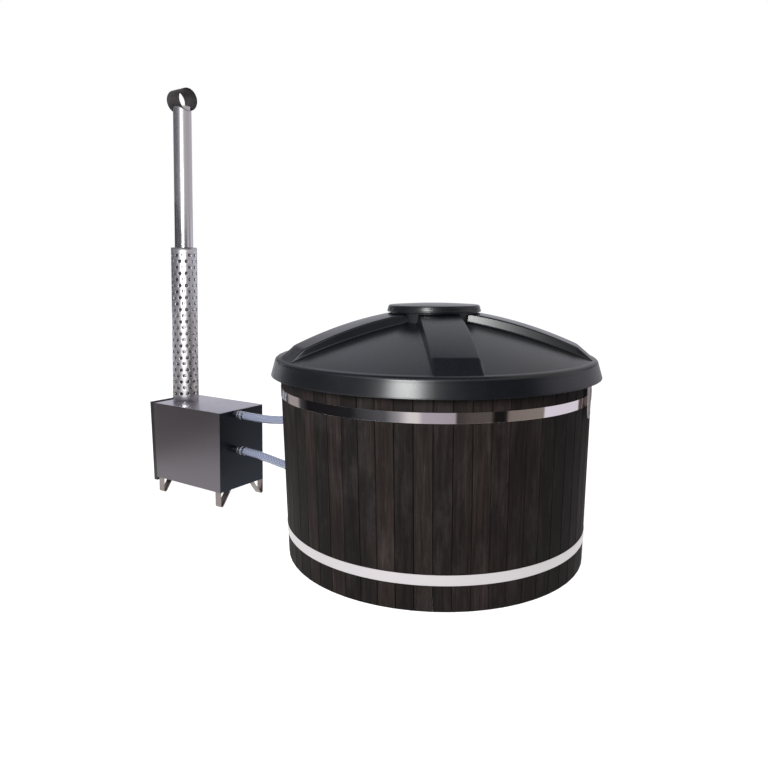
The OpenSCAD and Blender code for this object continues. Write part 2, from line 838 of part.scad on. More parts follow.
module lid_foam() {
    color("#d9d2b8")
    rotate_extrude() polygon(concat(
        [for (i = [0:liner_steps])
            let (r = liner_dome_r * i / liner_steps)
            [i == liner_steps ? r + liner_t + seat : r, liner_z(r) + liner_t + seat]],
        [[liner_dome_r + liner_t + seat, lid_seat_z + liner_t + seat],
            [liner_rim_r - foam_gap, lid_seat_z + liner_t + seat],
            [lid_shoulder_r - lid_t - 4 * foam_gap, shoulder_z - lid_t - foam_gap]],
        [for (i = [1:dome_steps])
            let (r = dome_edge_r + (dome_in_r - dome_edge_r) * i / dome_steps)
            [r - lid_t - foam_gap, dome_z(r) - lid_t - foam_gap]],
        [[0, dome_z(dome_in_r) - lid_t - foam_gap]]
    ));
}

module lid_liner() {
    color("#4a4d52")
    rotate_extrude() polygon(concat(
        [for (i = [0:liner_steps])
            let (r = liner_dome_r * i / liner_steps) [r, liner_z(r)]],
        [[liner_dome_r, lid_seat_z], [liner_rim_r, lid_seat_z], [liner_rim_r, lid_seat_z + liner_t],
            [liner_dome_r + liner_t, lid_seat_z + liner_t]],
        [for (i = [liner_steps:-1:0])
            let (r = liner_dome_r * i / liner_steps)
            [i == liner_steps ? r + liner_t : r, liner_z(r) + liner_t]]
    ));
}

module at_strap(az) { at_az(az) translate([strap_r, 0, strap_hinge_z]) children(); }

module strap_brackets() {
    leaf_h = lid_seat_z - seat - strap_hinge_z;
    knuckle_w = (strap_w - strap_knuckle_w) / 2 - run;
    color("#b8bac0")
    for (az = [strap_az, strap_az + 180])
        at_strap(az)
        difference() {
            union() {
                translate([0, -strap_w / 2, leaf_h - strap_t])
                    cube([liner_rim_r - strap_r - liner_t, strap_w, strap_t]);
                for (side = [0, 1]) mirror([0, side, 0])
                    translate([0, strap_w / 2 - knuckle_w, 0]) {
                        cube([strap_t, knuckle_w, leaf_h]);
                        rotate([-90, 0, 0]) cylinder(r = strap_knuckle_r, h = knuckle_w, $fn = small_fn);
                    }
            }
            translate([0, -strap_w, 0]) rotate([-90, 0, 0])
                cylinder(r = strap_pin_r + pin_run / 3, h = 2 * strap_w, $fn = small_fn);
        }
}

module strap_pins() {
    color("#d0d2d6")
    for (az = [strap_az, strap_az + 180])
        at_strap(az) translate([0, -strap_w / 2 - seat, 0]) rotate([-90, 0, 0])
            cylinder(r = strap_pin_r, h = strap_w + 2 * seat, $fn = small_fn);
}

module hold_down_strap(az) {
    drop = strap_hinge_z - strap_foot_z;
    color("#c8c8ca")
    at_strap(az)
    difference() {
        union() {
            rotate([-90, 0, 0]) translate([0, 0, -strap_knuckle_w / 2])
                cylinder(r = strap_knuckle_r, h = strap_knuckle_w, $fn = small_fn);
            translate([0, -strap_knuckle_w / 2, -2 * strap_knuckle_w])
                cube([strap_t, strap_knuckle_w, 2 * strap_knuckle_w]);
            translate([0, -strap_w / 2, strap_w / 2 - drop])
                cube([strap_t, strap_w, drop - strap_w / 2 - 2 * strap_knuckle_r]);
            translate([0, 0, strap_w / 2 - drop]) rotate([0, 90, 0]) cylinder(r = strap_w / 2, h = strap_t);
        }
        translate([0, -strap_w, 0]) rotate([-90, 0, 0])
            cylinder(r = strap_pin_r + pin_run, h = 2 * strap_w, $fn = small_fn);
        translate([-cut, 0, strap_w / 2 - drop]) rotate([0, 90, 0])
            cylinder(r = strap_hole_r, h = strap_t + 2 * cut, $fn = small_fn);
    }
}

module strap_right() { hold_down_strap(strap_az); }
module strap_left() { hold_down_strap(strap_az + 180); }

// Side outline of the heater between two heights, drawn in by s and set back from the front
module heater_side(z0, z1, end_x, s, width) {
    translate([0, -heater_y + width / 2, 0]) rotate([90, 0, 0])
        linear_extrude(height = width)
            polygon([[end_x, z0], [end_x, z1], [front_at(z1, s), z1], [front_at(z0, s), z0]]);
}

module casing() {
    color("#4a4749")
    difference() {
        heater_side(heater_foot_h, heater_top_z - casing_t - seat, -heater_x - casing_t - seat, -seat,
            heater_w);
        heater_side(heater_foot_h + casing_t, heater_top_z + cut, -heater_x + cut, cut,
            heater_w - 2 * casing_t);
        for (x = [-heater_x - foot_w / 2, front_x + foot_w / 2])
            for (side = [-1, 1])
                translate([x, -heater_y + side * (heater_w / 2 - foot_t - foot_bend_r), heater_foot_h - cut])
                    cylinder(r = band_bolt_r, h = 2 * cut, $fn = small_fn);
    }
}

module end_panel() {
    color("#26272c")
    difference() {
        translate([-heater_x - casing_t, -heater_y - heater_w / 2, heater_foot_h])
            cube([casing_t, heater_w, heater_h - casing_t - seat]);
        for (z = [lower_nipple_z, upper_nipple_z])
            translate([-heater_x - cut, -hose_y, z]) rotate([0, 90, 0])
                cylinder(r = nipple_r + seat, h = 2 * cut);
    }
}

module top_plate() {
    color("#6e6e76")
    difference() {
        heater_side(heater_top_z - casing_t, heater_top_z, -heater_x, -seat, heater_w);
        translate([flue_x, -heater_y, heater_foot_h])
            cylinder(r = flue_r - flue_t, h = heater_h + cut);
    }
}

// A plate on the leaning front with the openings for the fire door and the ash drawer
module front_opening_plate(z0, z1, t) {
    difference() {
        translate([0, -heater_w / 2, z0]) cube([t, heater_w, z1 - z0]);
        translate([-cut, -door_open_w / 2, door_open_z]) cube([t + 2 * cut, door_open_w, door_open_h]);
        translate([-cut, -door_open_w / 2, ash_open_z]) cube([t + 2 * cut, door_open_w, ash_open_h]);
    }
}

module front_frame() {
    color("#7d7a80")
    at_front() front_opening_plate(0, plate_h, frame_t);
}

module front_plate() {
    color("#1c1b1d")
    at_front() translate([frame_t + seat, 0, 0])
        front_opening_plate(-plate_drop, plate_h + plate_rise, front_t);
}

module firebox() {
    inner_w = firebox_w - 2 * firebox_t;
    color("#3d3a38")
    difference() {
        union() {
            difference() {
                heater_side(firebox_foot_z, firebox_top_z, firebox_end_x, -seat, firebox_w);
                heater_side(firebox_foot_z + firebox_t, firebox_top_z - firebox_t,
                    firebox_end_x - firebox_t, cut, inner_w);
            }
            for (side = [-1, 1])
                translate([firebox_end_x - firebox_t - grate_l, -heater_y + side * (inner_w - grate_ledge) / 2
                    - grate_ledge / 2, grate_z - firebox_t])
                    cube([grate_l + firebox_t / 2, grate_ledge, firebox_t]);
        }
        translate([flue_x, -heater_y, firebox_top_z - cut])
            cylinder(r = flue_r - flue_t + seat, h = 2 * cut);
    }
}

module baffle_plate() {
    inner_w = firebox_w - 2 * firebox_t;
    color("#57504a")
    translate([firebox_end_x - firebox_t - seat - baffle_l, -heater_y - inner_w / 2 + seat,
        firebox_top_z - baffle_drop])
        cube([baffle_l, inner_w - 2 * seat, baffle_t]);
}

module grate() {
    inner_w = firebox_w - 2 * firebox_t - 2 * run;
    slot_l = inner_w - 2 * grate_rim;
    count = floor((grate_l - 2 * grate_rim) / (grate_slot_w + grate_bar_w));
    color("#2f2c2a")
    translate([firebox_end_x - firebox_t - run - grate_l, -heater_y - inner_w / 2, grate_z + seat])
    difference() {
        cube([grate_l, inner_w, grate_t]);
        for (i = [0:count - 1])
            translate([grate_rim + grate_bar_w / 2 + i * (grate_slot_w + grate_bar_w), grate_rim, -cut])
                cube([grate_slot_w, slot_l, grate_t + 2 * cut]);
    }
}

module drawer_runners() {
    z = firebox_foot_z + firebox_t + seat;
    color("#57504a")
    for (side = [-1, 1])
        translate([drawer_end_x - runner_in - runner_l,
            -heater_y + side * (drawer_w / 2 - runner_w) - runner_w / 2, z])
            cube([runner_l, runner_w, drawer_foot_z - run / 2 - z]);
}

// Centre line of the bent bar: upright, round the bend at the floor, then up the slope
module foot_outline() {
    turn = 180 - foot_angle;
    end_a = 180 + turn;
    out_r = foot_bend_r + foot_t / 2;
    bend_z = -out_r * min([for (i = [0:foot_arc_steps]) sin(180 + turn * i / foot_arc_steps)]);
    in_r = foot_bend_r - foot_t / 2;
    top = heater_foot_h - seat;
    function slope_y(r) = foot_bend_r + r * cos(end_a)
        + (top - bend_z - r * sin(end_a)) * tan(foot_angle);
    polygon(concat(
        [[foot_bend_r - out_r, top]],
        [for (i = [0:foot_arc_steps]) let (a = 180 + turn * i / foot_arc_steps)
            [foot_bend_r + out_r * cos(a), bend_z + out_r * sin(a)]],
        [[slope_y(out_r), top], [slope_y(in_r), top]],
        [for (i = [foot_arc_steps:-1:0]) let (a = 180 + turn * i / foot_arc_steps)
            [foot_bend_r + in_r * cos(a), bend_z + in_r * sin(a)]],
        [[foot_bend_r - in_r, top]]
    ));
}

module heater_feet() {
    color("#8a8482")
    for (x = [-heater_x - foot_w - seat, front_x + seat])
        for (side = [0, 1])
            translate([x, -heater_y, 0]) mirror([0, side, 0])
                translate([0, -heater_w / 2 + foot_t / 2, 0])
                    rotate([90, 0, 90]) linear_extrude(height = foot_w) foot_outline();
}

// Heights along the plate at which a knuckle of the fire door starts
function knuckle_z(share) = door_z + door_h * share;

module hinge_lugs() {
    color("#2a292b")
    at_front()
        for (share = hinge_z_share)
            translate([door_hinge_x, -door_hinge_y, knuckle_z(share) - hinge_lug_l - run])
            difference() {
                union() {
                    cylinder(r = hinge_r, h = hinge_lug_l, $fn = small_fn);
                    translate([front_face + seat - door_hinge_x, -hinge_r, 0])
                        cube([door_hinge_x - front_face - seat, 2 * hinge_r, hinge_lug_l]);
                }
                translate([0, 0, -cut]) cylinder(r = hinge_pin_r + pin_run / 3, h = hinge_lug_l + 2 * cut,
                    $fn = small_fn);
            }
}

module hinge_pins() {
    color("#b0b0b4")
    at_front()
        for (share = hinge_z_share)
            translate([door_hinge_x, -door_hinge_y, knuckle_z(share) - hinge_lug_l - run]) {
                cylinder(r = hinge_pin_r, h = hinge_lug_l + run + hinge_knuckle_l + run, $fn = small_fn);
                translate([0, 0, hinge_lug_l + 2 * run + hinge_knuckle_l])
                    cylinder(r = hinge_pin_r + hinge_pin_lip, h = hinge_pin_head, $fn = small_fn);
            }
}

module fire_door() {
    x0 = front_face + door_gap;
    color("#232225")
    at_front()
    difference() {
        union() {
            translate([x0, -door_w / 2, door_z]) cube([door_t, door_w, door_h]);
            for (share = hinge_z_share)
                translate([door_hinge_x, -door_hinge_y, knuckle_z(share)]) {
                    cylinder(r = hinge_r, h = hinge_knuckle_l, $fn = small_fn);
                    cube([hinge_r, door_hinge_y - door_w / 2 + hinge_r, hinge_knuckle_l]);
                }
        }
        translate([x0 - cut, door_skin - door_w / 2, door_z + door_skin])
            cube([cut + door_t - door_skin, door_w - 2 * door_skin, door_h - 2 * door_skin]);
        for (share = hinge_z_share)
            translate([door_hinge_x, -door_hinge_y, knuckle_z(share) - cut])
                cylinder(r = hinge_pin_r + pin_run, h = hinge_knuckle_l + 2 * cut, $fn = small_fn);
    }
}

module door_gasket() {
    x0 = front_face + door_gap;
    w = door_w - 2 * door_skin - 2 * seat;
    h = door_h - 2 * door_skin - 2 * seat;
    color("#c9c4b6")
    at_front() translate([x0 + seat, 0, door_z + door_h / 2])
    difference() {
        translate([0, -w / 2, -h / 2]) cube([door_t - door_skin - 2 * seat, w, h]);
        translate([-cut, gasket_w - w / 2, gasket_w - h / 2])
            cube([door_t + cut, w - 2 * gasket_w, h - 2 * gasket_w]);
    }
}

module door_baffle() {
    x0 = front_face + door_gap + door_t - door_skin - seat;
    w = door_open_w - 2 * door_baffle_in;
    h = door_open_h - 2 * door_baffle_in;
    color("#57504a")
    at_front() {
        translate([x0 - door_t - door_baffle_depth, -w / 2, door_open_z + door_baffle_in])
            cube([door_baffle_t, w, h]);
        for (side = [-1, 1])
            translate([x0 - door_t - door_baffle_depth, side * w / 4, door_open_z + door_open_h / 2])
                rotate([0, 90, 0]) cylinder(r = door_bolt_r, h = door_t + door_baffle_depth, $fn = small_fn);
    }
}

module door_handle() {
    x0 = front_face + door_gap + door_t + seat;
    color("#8f8f93")
    at_front() translate([x0, handle_y, door_z + door_h / 2]) {
        for (side = [-1, 1])
            translate([0, 0, side * handle_h / 2]) rotate([0, 90, 0])
                cylinder(r = handle_bar_r - bar_step, h = handle_reach, $fn = small_fn);
        translate([handle_reach, 0, -handle_h / 2 - handle_bar_r])
            cylinder(r = handle_bar_r, h = handle_h + 2 * handle_bar_r, $fn = small_fn);
        translate([handle_reach, 0, handle_bar_r * 2 - handle_h / 2])
            cylinder(r = handle_grip_r, h = handle_h - 4 * handle_bar_r, $fn = small_fn);
    }
}

module air_slots(depth) {
    pitch = slide_w / air_slot_count;
    for (i = [0:air_slot_count - 1])
        translate([-cut, (i - (air_slot_count - 1) / 2) * pitch - air_slot_w, slide_z - air_slot_h / 2])
            cube([depth + 2 * cut, air_slot_w, air_slot_h]);
}

module ash_drawer() {
    x0 = front_face + door_gap;
    color("#2b2a2c")
    difference() {
        union() {
            difference() {
                heater_side(drawer_foot_z, drawer_foot_z + drawer_h, drawer_end_x, x0 + drawer_t, drawer_w);
                heater_side(drawer_foot_z + drawer_t, drawer_foot_z + drawer_h + cut, drawer_end_x - drawer_t,
                    x0 - drawer_t, drawer_w - 2 * drawer_t);
            }
            at_front() {
                translate([x0, -drawer_front_w / 2, drawer_front_z])
                    cube([drawer_front_t, drawer_front_w, drawer_front_h]);
                for (side = [-1, 1])
                    translate([x0 + drawer_front_t / 2, side * pull_w / 2, pull_z]) rotate([0, 90, 0])
                        cylinder(r = pull_r - bar_step, h = pull_reach, $fn = small_fn);
                translate([x0 + drawer_front_t / 2 + pull_reach, -pull_w / 2 - pull_r, pull_z])
                    rotate([-90, 0, 0]) cylinder(r = pull_r, h = pull_w + 2 * pull_r, $fn = small_fn);
            }
        }
        at_front() translate([x0, 0, 0]) air_slots(drawer_front_t);
    }
}

module drawer_guides() {
    x0 = front_face + door_gap + drawer_front_t + seat;
    reach = slide_w / 2 + slide_travel + guide_h;
    color("#3a393c")
    at_front() translate([x0, 0, slide_z])
        for (side = [0, 1]) mirror([0, 0, side]) {
            translate([0, -reach, slide_h / 2 + run]) cube([slide_t + 2 * run, 2 * reach, guide_h]);
            translate([slide_t + 2 * run, -reach, slide_h / 2 + run - guide_lip])
                cube([guide_lip_t, 2 * reach, guide_h + guide_lip]);
        }
}

module air_slide() {
    x0 = front_face + door_gap + drawer_front_t + seat + run;
    color("#8f8f93")
    at_front() {
        difference() {
            translate([x0, -slide_w / 2, slide_z - slide_h / 2]) cube([slide_t, slide_w, slide_h]);
            translate([x0, 0, 0]) air_slots(slide_t);
        }
        translate([x0 + slide_t / 2, slide_w / 2 - 2 * slide_knob_r, slide_z]) rotate([0, 90, 0])
            cylinder(r = slide_knob_r, h = slide_knob_h, $fn = small_fn);
    }
}

module at_flue(z) { translate([flue_x, -heater_y, z]) children(); }

module flue_collar() {
    spigot_r = flue_r - flue_t - seat;
    color("#3a3a3e")
    difference() {
        union() {
            at_flue(collar_foot_z)
                cylinder(r = spigot_r, h = heater_top_z + collar_spigot_h - collar_foot_z);
            at_flue(heater_top_z + seat) cylinder(r = collar_flange_r, h = collar_flange_t - seat);
        }
        at_flue(collar_foot_z - cut)
            cylinder(r = spigot_r - flue_t, h = heater_top_z + collar_spigot_h - collar_foot_z + 2 * cut);
    }
}

module flue_pipe_lower() {
    color("#c5c6ca")
    at_flue(shield_foot_z) tube(flue_r, flue_t, flue_split_z - shield_foot_z);
}

module flue_pipe_upper() {
    color("#cfd0d4")
    at_flue(flue_split_z)
    difference() {
        union() {
            translate([0, 0, seat]) cylinder(r = flue_r, h = flue_top_z - flue_split_z - seat);
            translate([0, 0, -flue_sleeve_h]) cylinder(r = flue_r - flue_t - seat, h = 2 * flue_sleeve_h);
        }
        translate([0, 0, -flue_sleeve_h - cut])
            cylinder(r = flue_r - 2 * flue_t, h = flue_top_z - flue_split_z + flue_sleeve_h + 2 * cut);
    }
}

module shield_spacers() {
    color("#9b9ca0")
    for (z = [shield_foot_z + spacer_in, shield_top_z - spacer_in])
        for (i = [0:spacer_count - 1])
            at_flue(z) rotate([0, 0, i * 360 / spacer_count]) translate([flue_r + seat, 0, 0])
                rotate([0, 90, 0])
                    cylinder(r = spacer_r, h = shield_d / 2 - shield_t - flue_r - 3 * seat, $fn = small_fn);
}

module heat_shield() {
    h = shield_top_z - shield_foot_z;
    rows = floor((h - 2 * shield_rim) / shield_row_pitch);
    first = (h - (rows - 1) * shield_row_pitch) / 2;
    color("#d2d3d7")
    at_flue(shield_foot_z)
    difference() {
        tube(shield_d / 2, shield_t, h);
        for (row = [0:rows - 1])
            for (i = [0:shield_holes - 1])
                translate([0, 0, first + row * shield_row_pitch])
                    rotate([0, 0, (i + (row % 2) / 2) * 360 / shield_holes])
                        translate([shield_d / 2, 0, 0]) rotate([0, 90, 0])
                            cylinder(r = shield_hole_d / 2, h = cut, center = true, $fn = small_fn);
    }
}

module flue_cowl() {
    color("#3b3a3c")
    at_flue(flue_top_z + cowl_rise)
    difference() {
        rotate([0, 90, 0]) cylinder(r = cowl_d / 2, h = cowl_l, center = true);
        rotate([0, 90, 0]) cylinder(r = cowl_d / 2 - cowl_t, h = cowl_l + cut, center = true);
        translate([0, 0, -cowl_d]) cylinder(r = flue_r + seat, h = cowl_d);
    }
}

module hose_nipples() {
    color("#4b4a4c")
    for (z = [lower_nipple_z, upper_nipple_z])
        translate([-heater_x, -hose_y, z]) rotate([0, 90, 0])
        difference() {
            union() {
                translate([0, 0, -nipple_in]) cylinder(r = nipple_r, h = nipple_in + nipple_l + tail_l);
                translate([0, 0, nipple_l]) cylinder(r = nipple_collar_r, h = nipple_collar_t);
            }
            translate([0, 0, -nipple_in - cut])
                cylinder(r = port_bore_r, h = nipple_in + nipple_l + tail_l + 2 * cut);
        }
}

module clamp() {
    in_r = hose_r + clamp_clear;
    translate([0, 0, -clamp_w / 2]) {
        tube(in_r + clamp_t, clamp_t, clamp_w);
        translate([-clamp_block / 2, in_r + clamp_t / 2, clamp_w / 2 - clamp_block / 2])
            cube([clamp_block, clamp_block_h, clamp_block]);
    }
}

// Clamps lie at distances from the heater and from the wall, along the straight ends
module hose_clamps() {
    color("#dcdde0")
    for (z = [lower_nipple_z, upper_nipple_z])
        for (d = [clamp_w, 3 * clamp_w])
            translate([-heater_x + nipple_l + nipple_collar_t + d, -hose_y, z]) rotate([0, 90, 0]) clamp();
    color("#dcdde0")
    for (z = [lower_port_z, upper_port_z])
        at_wall(port_az, z)
            translate([0, 0, port_slope_gap + port_flange_t + port_nut_t + clamp_w]) clamp();
}

function unit(v) = v / norm(v);
function along(route, i) = unit(route[min(i + 1, len(route) - 1)] - route[max(i - 1, 0)]);
function ring(route, i, r) =
    let (t = along(route, i), side = unit(cross(t, [0, 0, 1])), up = cross(side, t))
    [for (k = [0:hose_sides - 1]) let (a = 360 * k / hose_sides)
        route[i] + r * cos(a) * side + r * sin(a) * up];

// A tube with a bore, swept along a route of points
module hose(route) {
    n = hose_sides;
    m = len(route);
    outer = [for (i = [0:m - 1]) each ring(route, i, hose_r)];
    inner = [for (i = [0:m - 1]) each ring(route, i, hose_bore_r)];
    off = n * m;
    skin = [for (i = [0:m - 2], k = [0:n - 1])
        let (a = i * n + k, b = i * n + (k + 1) % n)
        each [[a, b, b + n], [a, b + n, a + n]]];
    bore = [for (f = skin) [f[0] + off, f[2] + off, f[1] + off]];
    mouth = [for (k = [0:n - 1]) let (b = (k + 1) % n)
        each [[k, k + off, b + off], [k, b + off, b]]];
    last = (m - 1) * n;
    tail = [for (f = mouth) [f[0] + last, f[2] + last, f[1] + last]];
    polyhedron(points = concat(outer, inner), faces = concat(skin, bore, mouth, tail));
}

module upper_hose() { color("#b9c0d6") hose(upper_route); }
module lower_hose() { color("#b9c0d6") hose(lower_route); }

staves();
port_stave();
upper_band();
lower_band();
band_lugs();
band_bolts();
bearers();
floor_boards();
tub_insert();
insert_floor();
bench_slats();
bench_frames();
wall_fittings();
port_strainers();
drain_pipe();
drain_strainer();
valve_body();
valve_ball();
drain_lever();
lid_shell();
lid_cap();
lid_foam();
lid_liner();
strap_brackets();
strap_pins();
strap_right();
strap_left();
casing();
end_panel();
top_plate();
front_frame();
front_plate();
firebox();
baffle_plate();
grate();
drawer_runners();
heater_feet();
hinge_lugs();
hinge_pins();
fire_door();
door_gasket();
door_baffle();
door_handle();
ash_drawer();
drawer_guides();
air_slide();
flue_collar();
flue_pipe_lower();
flue_pipe_upper();
shield_spacers();
heat_shield();
flue_cowl();
hose_nipples();
hose_clamps();
upper_hose();
lower_hose();
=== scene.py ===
import json
import math

import bmesh
import bpy
from mathutils import Matrix, Vector

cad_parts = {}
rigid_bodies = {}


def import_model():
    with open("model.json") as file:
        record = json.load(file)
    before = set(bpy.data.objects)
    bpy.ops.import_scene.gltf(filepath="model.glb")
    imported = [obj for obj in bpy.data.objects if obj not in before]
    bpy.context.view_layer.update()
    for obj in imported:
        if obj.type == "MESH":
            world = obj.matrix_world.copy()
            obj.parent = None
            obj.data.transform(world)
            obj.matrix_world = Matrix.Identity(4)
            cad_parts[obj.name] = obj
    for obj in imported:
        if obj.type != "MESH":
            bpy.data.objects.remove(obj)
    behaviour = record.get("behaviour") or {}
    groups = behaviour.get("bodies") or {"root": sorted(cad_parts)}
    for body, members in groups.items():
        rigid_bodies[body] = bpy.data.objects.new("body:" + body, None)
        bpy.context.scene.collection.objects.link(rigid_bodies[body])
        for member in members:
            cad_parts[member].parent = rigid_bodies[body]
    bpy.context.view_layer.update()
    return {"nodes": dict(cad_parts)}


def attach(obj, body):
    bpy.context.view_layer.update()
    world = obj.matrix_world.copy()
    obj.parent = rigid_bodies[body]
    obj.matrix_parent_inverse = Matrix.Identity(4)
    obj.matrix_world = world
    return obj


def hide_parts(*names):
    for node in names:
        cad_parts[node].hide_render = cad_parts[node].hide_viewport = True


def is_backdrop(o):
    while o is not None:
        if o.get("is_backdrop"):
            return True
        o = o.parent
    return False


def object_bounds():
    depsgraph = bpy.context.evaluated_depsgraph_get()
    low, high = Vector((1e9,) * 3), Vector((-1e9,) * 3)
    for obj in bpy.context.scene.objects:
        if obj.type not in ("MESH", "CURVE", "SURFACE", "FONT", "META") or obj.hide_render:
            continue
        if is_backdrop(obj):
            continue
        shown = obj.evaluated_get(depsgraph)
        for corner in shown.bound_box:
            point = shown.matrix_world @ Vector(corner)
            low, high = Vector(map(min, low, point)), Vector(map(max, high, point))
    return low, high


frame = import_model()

cadNodes = frame["nodes"]
scene = bpy.context.scene

# camera: the photograph's own viewpoint, on the tub's frame in metres
camera = {
    "place": (1.90794, -3.29137, 1.52848),
    "pitch": -2.57,  # degrees below the horizon
    "heading": 34.37,  # degrees to the left of +Y
    "lens": 31.37,
    "rise": -0.1009,  # the horizon lies above the middle of the picture
}

cameraData = bpy.data.cameras.new("studioCamera")
cameraData.sensor_width = 36.0
cameraData.lens = camera["lens"]
cameraData.shift_y = camera["rise"]
cameraData.clip_end = 200.0
cameraObject = bpy.data.objects.new("studioCamera", cameraData)
cameraObject.location = camera["place"]
cameraObject.rotation_euler = (
    math.radians(90 + camera["pitch"]), 0, math.radians(camera["heading"]))
scene.collection.objects.link(cameraObject)
scene.camera = cameraObject
print("camera in place")


# helpers for materials and meshes

mergeDistance = 1e-5  # metres, under any real step in the surface
turnMergeDistance = 1e-6  # metres, between the start and the end of a full turn
flatAngle = 0.4  # degrees, under which two CAD triangles are one flat face
softCrease = 50  # degrees, over which a rounded piece keeps a sharp edge


def linearColour(hexText):
    parts = [int(hexText[i:i + 2], 16) / 255 for i in (1, 3, 5)]
    linear = [p / 12.92 if p <= 0.04045 else ((p + 0.055) / 1.055) ** 2.4 for p in parts]
    return (*linear, 1.0)


def addNode(tree, kind, settings=None, inputs=None):
    node = tree.nodes.new("ShaderNode" + kind)
    for key, value in (settings or {}).items():
        setattr(node, key, value)
    for key, value in (inputs or {}).items():
        if isinstance(value, bpy.types.NodeSocket):
            tree.links.new(value, node.inputs[key])
        else:
            node.inputs[key].default_value = value
    return node


def clearedTree(owner):
    owner.use_nodes = True
    owner.node_tree.nodes.clear()
    return owner.node_tree


def newMaterial(name, settings):
    material = bpy.data.materials.new(name)
    tree = clearedTree(material)
    surface = addNode(tree, "BsdfPrincipled", None, settings)
    addNode(tree, "OutputMaterial", None, {"Surface": surface.outputs["BSDF"]})
    return material, tree, surface


def setRamp(node, stops):
    ramp = node.color_ramp
    while len(ramp.elements) < len(stops):
        ramp.elements.new(0.5)
    for element, (place, hexText) in zip(ramp.elements, stops):
        element.position = place
        element.color = linearColour(hexText)
    return node


def newObject(name, bm, material):
    mesh = bpy.data.meshes.new(name)
    bm.to_mesh(mesh)
    bm.free()
    mesh.materials.append(material)
    thing = bpy.data.objects.new(name, mesh)
    scene.collection.objects.link(thing)
    return thing


def finishPiece(name, bm, material, body, node, creaseAngle=35):
    piece = newObject(name, bm, material)
    for polygon in piece.data.polygons:
        polygon.use_smooth = True
    piece.data.set_sharp_from_angle(angle=math.radians(creaseAngle))
    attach(piece, body)
    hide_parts(node)
    return piece


def thickenInwards(piece, name, thickness):
    wall = piece.modifiers.new(name, "SOLIDIFY")
    wall.thickness = thickness
    wall.offset = -1.0


def evenNormals(piece):
    # a broad face keeps one flat tone, and only its rounded edges turn the light
    weights = piece.modifiers.new("evenNormals", "WEIGHTED_NORMAL")
    weights.keep_sharp = True
    weights.weight = 100


def roundEdges(bm, width, leastAngle=30):
    limit = math.radians(leastAngle)
    edges = [e for e in bm.edges if len(e.link_faces) == 2 and e.calc_face_angle(0) > limit]
    bmesh.ops.bevel(bm, geom=edges, offset=width, offset_type="OFFSET", affect="EDGES",
                    segments=2, profile=0.5, material=-1, clamp_overlap=True)


def turnedForm(profile, steps, closed=False, gap=0.0, gapHeading=0.0):
    # a profile of (radius, height) turned round the tub's axis, with a gap in degrees if asked
    bm = bmesh.new()
    points = [bm.verts.new((r, 0, z)) for r, z in profile]
    pairs = list(zip(points, points[1:])) + ([(points[-1], points[0])] if closed else [])
    edges = [bm.edges.new(p) for p in pairs]
    if gap:
        bmesh.ops.rotate(bm, verts=points, cent=(0, 0, 0),
                         matrix=Matrix.Rotation(math.radians(gapHeading + gap / 2), 3, "Z"))
    bmesh.ops.spin(bm, geom=points + edges, cent=(0, 0, 0), axis=(0, 0, 1),
                   angle=math.radians(360 - gap), steps=steps, use_merge=not gap)
    bmesh.ops.remove_doubles(bm, verts=bm.verts, dist=turnMergeDistance)
    if gap:
        bmesh.ops.holes_fill(bm, edges=[e for e in bm.edges if e.is_boundary])
    bmesh.ops.recalc_face_normals(bm, faces=bm.faces)
    return bm


def softenedCopy(name, node, material, body, width):
    # the CAD node's own form, its flat faces made whole again and its edges rounded
    bm = bmesh.new()
    bm.from_mesh(cadNodes[node].data)
    bmesh.ops.remove_doubles(bm, verts=bm.verts, dist=mergeDistance)
    bmesh.ops.dissolve_limit(bm, angle_limit=math.radians(flatAngle), verts=bm.verts,
                             edges=bm.edges)
    roundEdges(bm, width)
    evenNormals(finishPiece(name, bm, material, body, node, softCrease))


# materials

